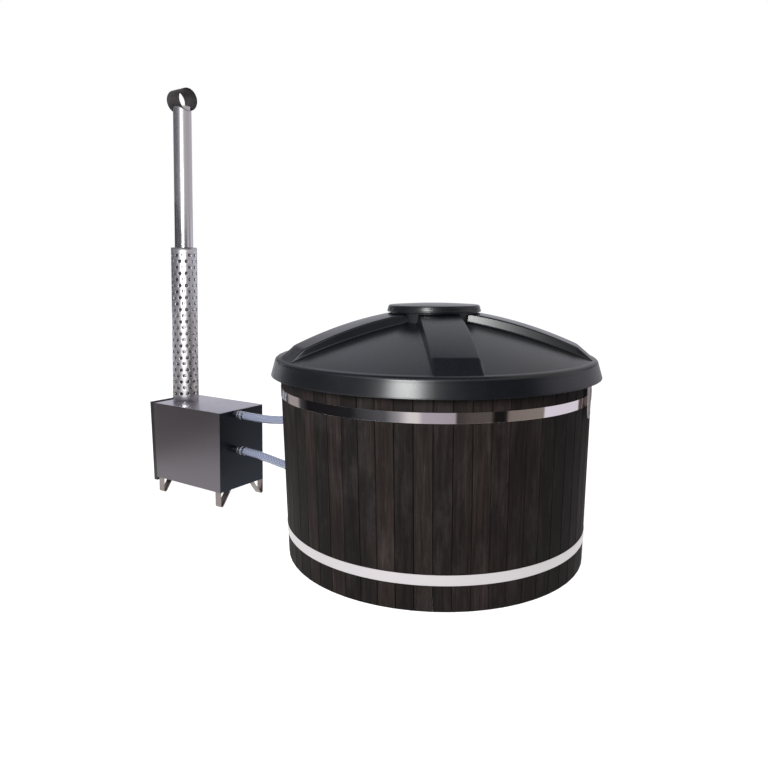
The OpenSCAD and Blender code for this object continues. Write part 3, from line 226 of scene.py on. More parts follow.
def pineBoards(name, look):
    # softwood boards: streaks along the grain, a tone of its own for each board, knots and wear.
    # Growth rings of 2 to 4 mm are too fine to show, so the streaks are drawn 16 to 60 mm wide
    # and the faint grain 4 to 11 mm
    material, tree, surface = newMaterial(name, {
        "Roughness": look["roughness"], "Specular IOR Level": look["specular"]})
    place = addNode(tree, "TexCoord").outputs["Object"]
    axes = addNode(tree, "SeparateXYZ", None, {0: place})
    heading = addNode(tree, "Math", {"operation": "ARCTAN2"},
                      {0: axes.outputs["Y"], 1: axes.outputs["X"]})
    board = addNode(tree, "Math", {"operation": "MULTIPLY"},
                    {0: heading.outputs[0], 1: look["boards"] / (2 * math.pi)})
    boardNumber = addNode(tree, "Math", {"operation": "FLOOR"}, {0: board.outputs[0]})
    chance = addNode(tree, "TexWhiteNoise", {"noise_dimensions": "1D"},
                     {"W": boardNumber.outputs[0]})
    shift = addNode(tree, "VectorMath", {"operation": "MULTIPLY_ADD"},
                    {0: chance.outputs["Color"], 1: (2.0, 2.0, 7.0), 2: place})
    along = look["along"]
    streaks = addNode(tree, "TexNoise", None, {
        "Vector": addNode(tree, "Mapping", None, {
            "Vector": shift.outputs[0],
            "Scale": tuple(look["streakFine"] if a else look["streakLong"] for a in along)}
        ).outputs[0], "Scale": 1.0, "Detail": 6.0, "Roughness": 0.62, "Distortion": 0.35})
    grain = addNode(tree, "TexNoise", None, {
        "Vector": addNode(tree, "Mapping", None, {
            "Vector": shift.outputs[0],
            "Scale": tuple(look["grainFine"] if a else look["grainLong"] for a in along)}
        ).outputs[0], "Scale": 1.0, "Detail": 3.0, "Roughness": 0.7})
    clouds = addNode(tree, "TexNoise", None, {
        "Vector": shift.outputs[0], "Scale": look["cloudScale"], "Detail": 4.0, "Roughness": 0.65})
    knots = addNode(tree, "TexVoronoi", {"feature": "F1"}, {
        "Vector": addNode(tree, "Mapping", None, {
            "Vector": shift.outputs[0],
            "Scale": tuple(look["knotPitch"] if a else look["knotPitch"] / 2.4 for a in along)}
        ).outputs[0], "Scale": 1.0, "Randomness": 1.0})
    blend = addNode(tree, "Mix", {"data_type": "FLOAT"},
                    {0: 0.32, 2: streaks.outputs["Fac"], 3: grain.outputs["Fac"]})
    tone = setRamp(addNode(tree, "ValToRGB", None, {"Fac": blend.outputs[0]}), look["stops"])
    boardTone = addNode(tree, "MapRange", None, {
        "Value": chance.outputs["Value"], "To Min": look["boardTones"][0],
        "To Max": look["boardTones"][1]})
    cloudTone = addNode(tree, "MapRange", None, {
        "Value": clouds.outputs["Fac"], "From Min": 0.3, "From Max": 0.72,
        "To Min": look["cloudTones"][0], "To Max": look["cloudTones"][1]})
    knotDistance = addNode(tree, "Math", {"operation": "ADD"}, {
        0: knots.outputs["Distance"],
        1: addNode(tree, "Math", {"operation": "LESS_THAN"}, {
            0: addNode(tree, "SeparateXYZ", None, {0: knots.outputs["Color"]}).outputs["X"],
            1: 1.0 - look["knotShare"]}).outputs[0]})
    knotTone = addNode(tree, "MapRange", {"interpolation_type": "SMOOTHSTEP"}, {
        "Value": knotDistance.outputs[0], "From Min": look["knotSize"] * 0.35,
        "From Max": look["knotSize"], "To Min": 0.35, "To Max": 1.0})
    strength = addNode(tree, "Math", {"operation": "MULTIPLY"},
                       {0: boardTone.outputs[0], 1: cloudTone.outputs[0]})
    strength = addNode(tree, "Math", {"operation": "MULTIPLY"},
                       {0: strength.outputs[0], 1: knotTone.outputs[0]})
    fromSeam = addNode(tree, "Math", {"operation": "PINGPONG"}, {0: board.outputs[0], 1: 0.5})
    seamTone = addNode(tree, "MapRange", {"interpolation_type": "SMOOTHSTEP"}, {
        "Value": fromSeam.outputs[0], "From Min": look["seamWidth"] * 0.25,
        "From Max": look["seamWidth"], "To Min": look["seamTone"], "To Max": 1.0})
    strength = addNode(tree, "Math", {"operation": "MULTIPLY"},
                       {0: strength.outputs[0], 1: seamTone.outputs[0]})
    coloured = addNode(tree, "VectorMath", {"operation": "SCALE"},
                       {0: tone.outputs["Color"], "Scale": strength.outputs[0]})
    warmth = addNode(tree, "Mix", {"data_type": "RGBA", "blend_type": "MULTIPLY"}, {
        0: chance.outputs["Value"], 6: coloured.outputs[0], 7: linearColour(look["warmth"])})
    wear = addNode(tree, "TexNoise", None, {
        "Vector": addNode(tree, "Mapping", None, {
            "Vector": shift.outputs[0], "Scale": look["wearScale"]}).outputs[0],
        "Scale": 1.0, "Detail": 7.0, "Roughness": 0.72})
    wearShare = addNode(tree, "MapRange", None, {
        "Value": wear.outputs["Fac"], "From Min": 0.5, "From Max": 0.78,
        "To Min": 0.0, "To Max": look["wearMost"]})
    worn = addNode(tree, "Mix", {"data_type": "RGBA"}, {
        0: wearShare.outputs[0], 6: warmth.outputs[2], 7: linearColour(look["wearColour"])})
    tree.links.new(worn.outputs[2], surface.inputs["Base Color"])
    dull = addNode(tree, "MapRange", None, {
        "Value": blend.outputs[0], "From Min": 0.3, "From Max": 0.7,
        "To Min": look["roughness"] - 0.1, "To Max": look["roughness"] + 0.12})
    tree.links.new(dull.outputs[0], surface.inputs["Roughness"])
    bump = addNode(tree, "Bump", None, {
        "Strength": look["bump"], "Distance": 0.0012, "Height": blend.outputs[0]})
    tree.links.new(bump.outputs[0], surface.inputs["Normal"])
    return material


def sheetMetal(name, look):
    # metal drawn under an abrasive belt: fine scratches that pull its reflections into streaks.
    # Real scratches are some 0.2 mm wide. These are 2 to 4 mm wide so that they show, and the
    # grain of plated and heat-tinted metal is 12 to 25 mm wide
    material, tree, surface = newMaterial(name, {
        "Base Color": linearColour(look["colour"]), "Metallic": look.get("metallic", 1.0),
        "Roughness": look["roughness"], "Anisotropic": look.get("anisotropic", 0.0)})
    place = addNode(tree, "TexCoord").outputs["Object"]
    scratches = addNode(tree, "TexNoise", None, {
        "Vector": addNode(tree, "Mapping", None, {
            "Vector": place, "Scale": look["scratch"]}).outputs[0],
        "Scale": 1.0, "Detail": 3.0, "Roughness": 0.6})
    patches = addNode(tree, "TexNoise", None, {
        "Vector": place, "Scale": look.get("patchScale", 5.0), "Detail": 3.0, "Roughness": 0.6})
    blend = addNode(tree, "Mix", {"data_type": "FLOAT"},
                    {0: look.get("patchShare", 0.45), 2: scratches.outputs["Fac"],
                     3: patches.outputs["Fac"]})
    spread = look.get("spread", 0.08)
    dull = addNode(tree, "MapRange", None, {
        "Value": blend.outputs[0], "From Min": 0.3, "From Max": 0.7,
        "To Min": max(look["roughness"] - spread, 0.02), "To Max": look["roughness"] + spread})
    tree.links.new(dull.outputs[0], surface.inputs["Roughness"])
    if look.get("stain"):
        stain = setRamp(addNode(tree, "ValToRGB", None, {"Fac": blend.outputs[0]}),
                        [(0.32, look["stain"]), (0.62, look["colour"])])
        tree.links.new(stain.outputs["Color"], surface.inputs["Base Color"])
    height = blend if not look.get("wave") else addNode(tree, "TexNoise", None, {
        "Vector": place, "Scale": look["wave"], "Detail": 1.0})
    bump = addNode(tree, "Bump", None, {
        "Strength": look.get("bump", 0.15), "Distance": look.get("depth", 0.0004),
        "Height": height.outputs[0]})
    tree.links.new(bump.outputs[0], surface.inputs["Normal"])
    return material


def mouldedPlastic(name, look):
    # moulded or cast surface with a fine grain of its own and faint flow marks. The grain is
    # drawn 2 to 6 mm wide, because the real 0.3 mm would not show
    settings = {"Base Color": linearColour(look["colour"]), "Roughness": look["roughness"]}
    settings.update(look.get("more", {}))
    material, tree, surface = newMaterial(name, settings)
    place = addNode(tree, "TexCoord").outputs["Object"]
    grain = addNode(tree, "TexNoise", None, {
        "Vector": place, "Scale": look["grain"], "Detail": 2.0, "Roughness": 0.5})
    flow = addNode(tree, "TexNoise", None, {
        "Vector": place, "Scale": look.get("flow", 3.5), "Detail": 4.0, "Roughness": 0.6})
    tint = setRamp(addNode(tree, "ValToRGB", None, {"Fac": flow.outputs["Fac"]}),
                   [(0.3, look["colour"]), (0.7, look["tint"])])
    tree.links.new(tint.outputs["Color"], surface.inputs["Base Color"])
    dull = addNode(tree, "MapRange", None, {
        "Value": flow.outputs["Fac"], "From Min": 0.3, "From Max": 0.7,
        "To Min": look["roughness"] - look.get("spread", 0.05),
        "To Max": look["roughness"] + look.get("spread", 0.05)})
    tree.links.new(dull.outputs[0], surface.inputs["Roughness"])
    bump = addNode(tree, "Bump", None, {
        "Strength": look.get("bump", 0.12), "Distance": look.get("depth", 0.0005),
        "Height": grain.outputs["Fac"]})
    tree.links.new(bump.outputs[0], surface.inputs["Normal"])
    return material


woods = {
    # planed pine soaked in a dark brown stain: dull, long streaks, dark seams
    "stainedPine": {
        "roughness": 0.68, "specular": 0.07, "boards": 60, "along": (True, True, False),
        "streakFine": 62.0, "streakLong": 1.5, "grainFine": 260.0, "grainLong": 4.0,
        "cloudScale": 3.2, "knotPitch": 7.5, "knotSize": 0.09, "knotShare": 0.08, "bump": 0.3,
        "stops": [(0.28, "#0a0808"), (0.46, "#171413"), (0.58, "#221e1d"), (0.74, "#37312f")],
        "boardTones": (0.66, 1.4), "cloudTones": (0.8, 1.2), "warmth": "#fff0ea",
        "seamWidth": 0.04, "seamTone": 0.25,
        "wearScale": (9.0, 9.0, 3.0), "wearMost": 0.16, "wearColour": "#5e5a59"},
    # sawn pine: pale, dry, with many knots
    "sawnPine": {
        "roughness": 0.7, "specular": 0.3, "boards": 1, "along": (True, False, True),
        "streakFine": 48.0, "streakLong": 1.3, "grainFine": 260.0, "grainLong": 6.0,
        "cloudScale": 2.6, "knotPitch": 5.0, "knotSize": 0.07, "knotShare": 0.3, "bump": 0.4,
        "stops": [(0.3, "#5c4836"), (0.5, "#816750"), (0.62, "#9a7d62"), (0.76, "#b0937a")],
        "boardTones": (0.95, 1.05), "cloudTones": (0.8, 1.15), "warmth": "#fff4ea",
        "seamWidth": 0.04, "seamTone": 1.0,
        "wearScale": (6.0, 3.0, 6.0), "wearMost": 0.25, "wearColour": "#a39a90"},
    # planed pine: smooth, light honey colour
    "planedPine": {
        "roughness": 0.5, "specular": 0.4, "boards": 8, "along": (True, True, True),
        "streakFine": 17.0, "streakLong": 2.0, "grainFine": 90.0, "grainLong": 9.0,
        "cloudScale": 3.0, "knotPitch": 4.0, "knotSize": 0.06, "knotShare": 0.25, "bump": 0.2,
        "stops": [(0.3, "#8a6848"), (0.5, "#a9845e"), (0.62, "#b99470"), (0.76, "#caa985")],
        "boardTones": (0.94, 1.05), "cloudTones": (0.88, 1.1), "warmth": "#fff6ee",
        "seamWidth": 0.04, "seamTone": 1.0,
        "wearScale": (5.0, 5.0, 5.0), "wearMost": 0.1, "wearColour": "#cdb596"},
}

metals = {
    # polished stainless strip: long clear reflections with slow waves
    "polishedStainless": {"colour": "#d6d3d6", "roughness": 0.05, "spread": 0.02, "wave": 6.0,
                          "bump": 0.02, "depth": 0.002, "scratch": (3.0, 3.0, 260.0)},
    # drawn stainless tube: reflections pulled out along its length
    "drawnStainlessTube": {"colour": "#cfccd0", "roughness": 0.2, "spread": 0.03, "wave": 9.0,
                           "bump": 0.03, "depth": 0.001, "scratch": (260.0, 260.0, 3.0)},
    # perforated and dimpled stainless sheet: softer than the tube
    "perforatedStainless": {"colour": "#d6d3d6", "roughness": 0.36, "spread": 0.03, "wave": 9.0,
                            "bump": 0.02, "depth": 0.001, "scratch": (260.0, 260.0, 3.0)},
    # brushed stainless strip: broad grey-white sheen
    "brushedStainless": {"colour": "#bdb9bb", "roughness": 0.4, "anisotropic": 0.3, "bump": 0.06,
                         "scratch": (6.0, 6.0, 420.0)},
    # zinc-plated steel: cool grey, finely grained
    "zincPlatedSteel": {"colour": "#bcbcc0", "roughness": 0.28, "scratch": (80.0, 80.0, 80.0)},
    # galvanised iron thread: dull dark grey
    "galvanisedIron": {"colour": "#6c6d75", "roughness": 0.32, "scratch": (240.0, 30.0, 30.0)},
    # stainless worm clamp: short bright reflections
    "clampStainless": {"colour": "#e2e2e6", "roughness": 0.18, "scratch": (240.0, 30.0, 30.0)},
    # brushed steel casing that mirrors a dark room: mid grey with long streaks
    "casingSteel": {"colour": "#6c686d", "roughness": 0.42, "spread": 0.04, "anisotropic": 0.35,
                    "bump": 0.04, "scratch": (5.0, 420.0, 420.0), "patchShare": 0.3},
    # the same sheet lying level, painted paler: a painted reflection of the bright things it
    # mirrors
    "topSteelPaintedReflection": {"colour": "#b4b2ba", "roughness": 0.3, "spread": 0.05, "bump": 0.05,
                      "scratch": (5.0, 420.0, 420.0), "patchShare": 0.4},
    # the same sheet turned from the lamps, painted blue-black: painted shade
    "endSteelPaintedShade": {"colour": "#2a2d33", "roughness": 0.36, "spread": 0.05, "bump": 0.04,
                      "scratch": (420.0, 5.0, 420.0), "patchShare": 0.3},
    # heatproof matt paint on steel: dull, slightly speckled
    "heatproofPaint": {"colour": "#1b1b1d", "roughness": 0.5, "metallic": 0.0, "bump": 0.15,
                       "stain": "#131314", "scratch": (320.0, 320.0, 320.0)},
    # steel tinted by heat: brown-grey patches
    "heatTintedSteel": {"colour": "#6b635c", "roughness": 0.55, "metallic": 0.85,
                        "stain": "#332b27", "scratch": (40.0, 40.0, 40.0), "bump": 0.25},
    # cast iron: rough, dark, sandy
    "castIron": {"colour": "#2e2b2a", "roughness": 0.7, "metallic": 0.4, "stain": "#1d1a19",
                 "scratch": (320.0, 320.0, 320.0), "bump": 0.4},
    # bent stainless strip: warm grey streaks
    "bentStainless": {"colour": "#948c8a", "roughness": 0.34, "scratch": (320.0, 8.0, 8.0),
                      "bump": 0.08, "stain": "#655a58"},
    # rolled stainless with soot: dark rings round it
    "sootedStainless": {"colour": "#8e8986", "roughness": 0.42, "scratch": (300.0, 8.0, 8.0),
                        "bump": 0.12, "stain": "#3c3b3e"},
    # machined brass: clear yellow reflections
    "machinedBrass": {"colour": "#c6ad72", "roughness": 0.22, "scratch": (60.0, 60.0, 60.0)},
}

plastics = {
    # black polyethylene, moulded in a rotating mould: near black, soft broad highlights
    "mouldedPolyethylene": {"colour": "#090b0f", "tint": "#0c0f14", "roughness": 0.27,
                            "grain": 420.0, "bump": 0.06, "depth": 0.0003, "flow": 2.4,
                            "spread": 0.03},
    # grey polypropylene sheet: smooth and gently glossy
    "mouldedPolypropylene": {"colour": "#8f99a1", "tint": "#a1abb2", "roughness": 0.22,
                             "grain": 160.0, "bump": 0.05},
    # dark moulded nylon: fine matt grain
    "mouldedNylon": {"colour": "#26282b", "tint": "#32353a", "roughness": 0.42, "grain": 500.0},
    # dipped vinyl grip: red and satin
    "dippedVinyl": {"colour": "#a3322a", "tint": "#b03c32", "roughness": 0.35, "grain": 260.0},
    # rigid foam: dry and porous
    "rigidFoam": {"colour": "#d6cfb4", "tint": "#c7be9f", "roughness": 0.9, "grain": 260.0,
                  "bump": 0.6, "depth": 0.002},
    # glass-fibre rope: matt and fuzzy
    "glassFibreRope": {"colour": "#cbc7bb", "tint": "#a8a294", "roughness": 0.95, "grain": 420.0,
                       "bump": 0.7, "depth": 0.001},
}

wood = {name: pineBoards(name, look) for name, look in woods.items()}
metal = {name: sheetMetal(name, look) for name, look in metals.items()}
plastic = {name: mouldedPlastic(name, look) for name, look in plastics.items()}
print("materials made")


# hoses: clear soft PVC with a white yarn braid in the wall

hoses = {
    "radius": 0.026,
    "wall": 0.004,
    "sides": 28,
    "ringsPerSpan": 5,
    "braidPitch": 0.022,  # metres along the hose for one turn of a yarn
    "yarns": 7,
    "yarnEdges": (0.06, 0.15),  # shares of the pitch where a yarn's edge starts and ends
    "plastic": "#939cb8",
    "yarn": "#c6ccdd",
    # the routes of the CAD's hoses: 0.537 m and 0.552 m long, seen from end to end in the photo
    "upperRoute": [
        (-1.3988, -.175, .604), (-1.372, -.175, .604), (-1.335, -.175, .604),
        (-1.300, -.175, .6038), (-1.255, -.174, .6032), (-1.210, -.173, .6028),
        (-1.165, -.171, .603), (-1.120, -.168, .6042), (-1.075, -.165, .6068),
        (-1.035, -.161, .6102), (-1.000, -.157, .614), (-.965, -.1528, .6168),
        (-.932, -.1476, .618), (-.904, -.1432, .618), (-.8644, -.1369, .618)],
    "lowerRoute": [
        (-1.3988, -.175, .366), (-1.372, -.175, .366), (-1.335, -.175, .366),
        (-1.300, -.175, .365), (-1.255, -.174, .3625), (-1.210, -.173, .358),
        (-1.165, -.171, .352), (-1.120, -.168, .345), (-1.075, -.165, .3375),
        (-1.035, -.161, .3305), (-1.000, -.157, .3245), (-.965, -.1528, .3195),
        (-.932, -.1476, .3165), (-.904, -.1432, .316), (-.853, -.1351, .316)],
}


def clearHoseMaterial():
    # clear PVC with a pale blue cast: light passes into it, and white yarns cross in its wall
    material, tree, surface = newMaterial("braidedPvc", {
        "Roughness": 0.14, "IOR": 1.4,
        "Transmission Weight": 0.55, "Coat Weight": 0.8, "Coat Roughness": 0.06})
    uv = addNode(tree, "UVMap", {"uv_map": "hoseUv"}).outputs["UV"]
    axes = addNode(tree, "SeparateXYZ", None, {0: uv})
    yarnMasks = []
    for direction in (1, -1):
        turned = addNode(tree, "Math", {"operation": "MULTIPLY_ADD"}, {
            0: axes.outputs["Y"], 1: direction / hoses["braidPitch"],
            2: addNode(tree, "Math", {"operation": "MULTIPLY"},
                       {0: axes.outputs["X"], 1: hoses["yarns"]}).outputs[0]})
        wave = addNode(tree, "Math", {"operation": "PINGPONG"}, {0: turned.outputs[0], 1: 0.5})
        yarnMasks.append(addNode(tree, "MapRange", None, {
            "Value": wave.outputs[0], "From Min": hoses["yarnEdges"][0],
            "From Max": hoses["yarnEdges"][1], "To Min": 1.0, "To Max": 0.0}).outputs[0])
    yarn = addNode(tree, "Math", {"operation": "MAXIMUM"}, {0: yarnMasks[0], 1: yarnMasks[1]})
    colour = addNode(tree, "Mix", {"data_type": "RGBA"}, {
        0: yarn.outputs[0], 6: linearColour(hoses["plastic"]), 7: linearColour(hoses["yarn"])})
    tree.links.new(colour.outputs[2], surface.inputs["Base Color"])
    bump = addNode(tree, "Bump", None, {
        "Strength": 0.2, "Distance": 0.0006, "Height": yarn.outputs[0]})
    tree.links.new(bump.outputs[0], surface.inputs["Normal"])
    return material


def smoothRoute(points, perSpan):
    # a smooth line through all the points, with perSpan steps between each two
    points = [Vector(p) for p in points]
    ends = [2 * points[0] - points[1]] + points + [2 * points[-1] - points[-2]]
    route = []
    for a, b, c, d in zip(ends, ends[1:], ends[2:], ends[3:]):
        for i in range(perSpan):
            t = i / perSpan
            route.append(0.5 * (2 * b + (c - a) * t + (2 * a - 5 * b + 4 * c - d) * t * t
                                + (3 * b - a - 3 * c + d) * t ** 3))
    return route + [points[-1]]


hoseMaterial = clearHoseMaterial()
for name, node, key in (("upperHose", "upper_hose", "upperRoute"),
                        ("lowerHose", "lower_hose", "lowerRoute")):
    route = smoothRoute(hoses[key], hoses["ringsPerSpan"])
    bm = bmesh.new()
    uvLayer = bm.loops.layers.uv.new("hoseUv")
    ring = bmesh.ops.create_circle(bm, cap_ends=False, segments=hoses["sides"],
                                   radius=hoses["radius"])["verts"]
    travel = {}
    walked = 0.0
    for i, point in enumerate(route):
        ahead = route[min(i + 1, len(route) - 1)] - route[max(i - 1, 0)]
        side = ahead.cross(Vector((0, 0, 1))).normalized()
        across = ahead.cross(side).normalized()
        turn = Matrix((side, across, ahead.normalized())).transposed()
        walked += (point - route[i - 1]).length if i else 0.0
        if i:
            rim = list({e for v in ring for e in v.link_edges if e.is_boundary or not e.link_faces
                        if all(w in ring for w in e.verts)})
            made = bmesh.ops.extrude_edge_only(bm, edges=rim)["geom"]
            fresh = [g for g in made if isinstance(g, bmesh.types.BMVert)]
            order = {v: k for k, v in enumerate(ring)}
            ordered = [None] * len(ring)
            for v in fresh:
                for e in v.link_edges:
                    other = e.other_vert(v)
                    if other in order:
                        ordered[order[other]] = v
            ring = ordered
        for k, v in enumerate(ring):
            a = 2 * math.pi * k / len(ring)
            v.co = point + turn @ Vector((math.cos(a), math.sin(a), 0)) * hoses["radius"]
            travel[v] = (k / len(ring), walked)
    for face in bm.faces:
        us = [travel[loop.vert][0] for loop in face.loops]
        for loop in face.loops:
            u, v = travel[loop.vert]
            loop[uvLayer].uv = (u + (1.0 if max(us) - min(us) > 0.5 and u < 0.5 else 0.0), v)
    bmesh.ops.recalc_face_normals(bm, faces=bm.faces)
    hose = finishPiece(name, bm, hoseMaterial, "root", node)
    thickenInwards(hose, "wall", hoses["wall"])
print("hoses made")


# lid: one moulded skin whose five ribs rise out of the dome

lid = {
    # radii and heights in metres, from the skirt in to the neck
    "skirtRadius": 0.915, "shoulderRadius": 0.895, "skirtFoot": 0.992, "shoulderHeight": 1.066,
    "shoulderDrop": 0.024, "shoulderIn": 0.033, "edgeHeight": 1.090, "edgeRadius": 0.862,
    "domeInner": 0.250, "domeRise": 0.185, "domeBulge": 0.015,
    "neckRadius": 0.240, "neckTop": 1.340, "skin": 0.005,
    # the first rib's heading in degrees, where the ribs end, and how far they rise off the dome
    "ribs": 5, "firstRib": 19.5, "ribWidth": 0.222, "ribEnd": 0.790, "ribFoot": 0.872,
    "ribStartRise": 0.049, "ribEndRise": 0.040, "ribBulge": 0.028, "draft": 0.075,
    # the roundings of a rib's edges, and the most of its height that one may take
    "topRounding": 0.009, "footRounding": 0.012, "endBlend": 0.003,
    "mostRounding": 0.45, "roundingTurn": 85, "roundingSteps": 5,
    # where the mesh has its columns and rows, as shares, and as radii where the ribs end
    "ribShares": (0.0, 0.4, 0.75, 0.93), "fieldShares": (0.05, 0.16, 0.34, 0.55, 0.78, 1.0),
    "neckShares": (1.0, 0.62, 0.3, 0.1, 0.0), "skirtShares": (0.15, 0.5, 0.85, 0.96),
    "innerRadii": [0.2425, 0.246, 0.252, 0.262], "evenEnd": 0.766, "evenRows": 22,
    "outerRadii": [0.774, 0.780, 0.785, 0.789, 0.792, 0.795, 0.799, 0.804, 0.812, 0.822,
                   0.832, 0.842, 0.852, 0.857, 0.862],
    "shoulderRows": 8, "leastColumn": 0.0002,
    "footEdge": [(0.0006, 0.0008), (0.0022, 0.0)],
}


def bow(t):
    return 4 * t * (1 - t)


def domeHeight(r):
    t = (r - lid["domeInner"]) / (lid["edgeRadius"] - lid["domeInner"])
    return lid["edgeHeight"] + lid["domeRise"] * (1 - t) + lid["domeBulge"] * bow(t)


def softLower(a, b, k):
    # the lower of two heights, blended over k where they cross
    h = max(k - abs(a - b), 0.0) / k
    return min(a, b) - h * h * k / 4


def ribTopHeight(r):
    def upper(radius):
        t = (radius - lid["neckRadius"]) / (lid["ribEnd"] - lid["neckRadius"])
        return ((domeHeight(lid["neckRadius"]) + lid["ribStartRise"]) * (1 - t)
                + (domeHeight(lid["ribEnd"]) + lid["ribEndRise"]) * t
                + (lid["ribBulge"] - lid["domeBulge"] / 2) * bow(t))
    t = (r - lid["ribEnd"]) / (lid["ribFoot"] - lid["ribEnd"])
    ending = upper(lid["ribEnd"]) * (1 - t) + domeHeight(lid["ribFoot"]) * t
    return softLower(upper(r), ending, lid["endBlend"])


def ribSection(r):
    # distance from the rib's middle and height of each column, over the top edge and the foot
    dome, top = domeHeight(r), ribTopHeight(r)
    height = max(top - dome, 0.0)
    half = lid["ribWidth"] / 2 + lid["draft"] * lid["ribBulge"]
    upperRound = min(lid["topRounding"], height * lid["mostRounding"])
    lowerRound = min(lid["footRounding"], height * lid["mostRounding"])
    foot = half + lid["draft"] * height
    turns = [math.radians(lid["roundingTurn"] * i / lid["roundingSteps"])
             for i in range(lid["roundingSteps"] + 1)]
    section = [((half - upperRound) * share, dome + height) for share in lid["ribShares"]]
    section += [(half - upperRound * (1 - math.sin(a)),
                 dome + height - upperRound * (1 - math.cos(a))) for a in turns]
    section += [(foot + lowerRound * (1 - math.sin(a)), dome + lowerRound * (1 - math.cos(a)))
                for a in reversed(turns)]
    columns = section[:1]
    for across, z in section[1:]:
        columns.append((max(across, columns[-1][0] + lid["leastColumn"]), z))
    angles = [(math.asin(across / r), z) for across, z in columns]
    last, limit = angles[-1][0], math.pi / lid["ribs"]
    return angles + [(last + (limit - last) * share, dome) for share in lid["fieldShares"]]


def lidRows():
    # each row's radius, what sets its height, and the value for that
    rows = [(lid["neckRadius"], "wall", share) for share in lid["neckShares"]]
    evenStart, evenRows = lid["innerRadii"][-1], lid["evenRows"]
    evenRadii = [evenStart + (lid["evenEnd"] - evenStart) * i / evenRows
                 for i in range(1, evenRows + 1)]
    rows += [(r, "skin", 0.0) for r in lid["innerRadii"] + evenRadii + lid["outerRadii"]]
    for i in range(1, lid["shoulderRows"] + 1):
        a = math.radians(90 - 90 * i / lid["shoulderRows"])
        rows.append((lid["shoulderRadius"] - lid["shoulderIn"] * (1 - math.cos(a)), "level",
                     lid["shoulderHeight"] + lid["shoulderDrop"] * math.sin(a)))
    flare = lid["skirtRadius"] - lid["shoulderRadius"]
    for share in lid["skirtShares"]:
        rows.append((lid["shoulderRadius"] + flare * share, "level",
                     lid["shoulderHeight"] + (lid["skirtFoot"] - lid["shoulderHeight"]) * share))
    rows += [(lid["skirtRadius"] - inset, "level", lid["skirtFoot"] + rise)
             for inset, rise in lid["footEdge"]]
    return rows


# each row is spun at a height of its own that tells it apart, then set on the skin
rows = lidRows()
columnCount = len(ribSection(lid["evenEnd"])) - 1
steps = 2 * columnCount * lid["ribs"]
firstMark = 10.0
bm = bmesh.new()
line = [bm.verts.new((r, 0, firstMark + i)) for i, (r, _, _) in enumerate(rows)]
lineEdges = [bm.edges.new(pair) for pair in zip(line, line[1:])]
bmesh.ops.spin(bm, geom=line + lineEdges, cent=(0, 0, 0), axis=(0, 0, 1), angle=2 * math.pi,
               steps=steps, use_merge=True)
bmesh.ops.remove_doubles(bm, verts=bm.verts, dist=turnMergeDistance)
for v in bm.verts:
    r, kind, value = rows[round(v.co.z - firstMark)]
    step = round((math.atan2(v.co.y, v.co.x) % (2 * math.pi)) / (2 * math.pi / steps)) % steps
    sector, inner = divmod(step + columnCount, 2 * columnCount)
    inner -= columnCount
    angle, z = ribSection(max(r, lid["neckRadius"]))[abs(inner)]
    offset = math.copysign(angle, inner) if inner else 0.0
    heading = math.radians(lid["firstRib"]) + sector * 2 * math.pi / lid["ribs"] + offset
    if kind == "level":
        z = value
    elif kind == "wall":
        z += (lid["neckTop"] - z) * value
    v.co = (r * math.cos(heading), r * math.sin(heading), z)
bmesh.ops.holes_fill(bm, edges=[e for e in bm.edges if e.is_boundary
                                and all(v.co.z > lid["edgeHeight"] for v in e.verts)])
bmesh.ops.recalc_face_normals(bm, faces=bm.faces)
lidSkin = finishPiece("lidSkin", bm, plastic["mouldedPolyethylene"], "lid",
                      "lid_shell", softCrease)
thickenInwards(lidSkin, "skin", lid["skin"])
print("lid skin made")

cap = {
    "steps": 160,
    "profile": [(.2402, 1.332), (.264, 1.332), (.264, 1.3431), (.261, 1.3461), (.261, 1.3549),
                (.258, 1.3579), (.258, 1.363), (.252, 1.369), (.132, 1.37575), (0.0, 1.378),
                (0.0, 1.3732), (.228, 1.364), (.228, 1.3402), (.2402, 1.3402)],
    "rounding": 0.0012, "leastAngle": 25,
}
bm = turnedForm(cap["profile"], cap["steps"])
bmesh.ops.remove_doubles(bm, verts=bm.verts, dist=mergeDistance)
roundEdges(bm, cap["rounding"], cap["leastAngle"])
finishPiece("lidCap", bm, plastic["mouldedPolyethylene"], "lid", "lid_cap")
print("lid cap made")


# steel bands round the staves, each with a gap where its lugs are drawn together

bands = {
    "steps": 240, "width": 0.050, "thickness": 0.0015, "corner": 0.0003, "crease": 60,
    "upper": 0.876, "lower": 0.129, "jointHeading": 126.0, "jointGap": 2.6, "fit": 0.0002,
    # the stave wall that they clasp: its flats' radius at the foot, and how far it flares
    "wallRadius": 0.820, "wallFlare": 0.043, "wallFoot": 0.005, "wallHeight": 1.010, "staves": 60,
}


def bandInside(z):
    flat = (bands["wallRadius"]
            + bands["wallFlare"] * (z - bands["wallFoot"]) / bands["wallHeight"])
    return flat / math.cos(math.pi / bands["staves"]) + bands["fit"]


for name, node, foot, material, slot in (
        ("upperBand", "upper_band", bands["upper"], metal["polishedStainless"], "polished_steel"),
        ("lowerBand", "lower_band", bands["lower"], metal["brushedStainless"], "satin_steel")):
    top = foot + bands["width"]
    inFoot, inTop = bandInside(foot), bandInside(top)
    t, c = bands["thickness"], bands["corner"]
    profile = [(inFoot, foot), (inFoot + t - c, foot), (inFoot + t, foot + c),
               (inTop + t, top - c), (inTop + t - c, top), (inTop, top)]
    bm = turnedForm(profile, bands["steps"], closed=True, gap=bands["jointGap"],
                    gapHeading=bands["jointHeading"])
    evenNormals(finishPiece(name, bm, material, "root", node, bands["crease"]))
print("bands made")


# chimney: polished pipe inside a perforated, dimpled heat shield

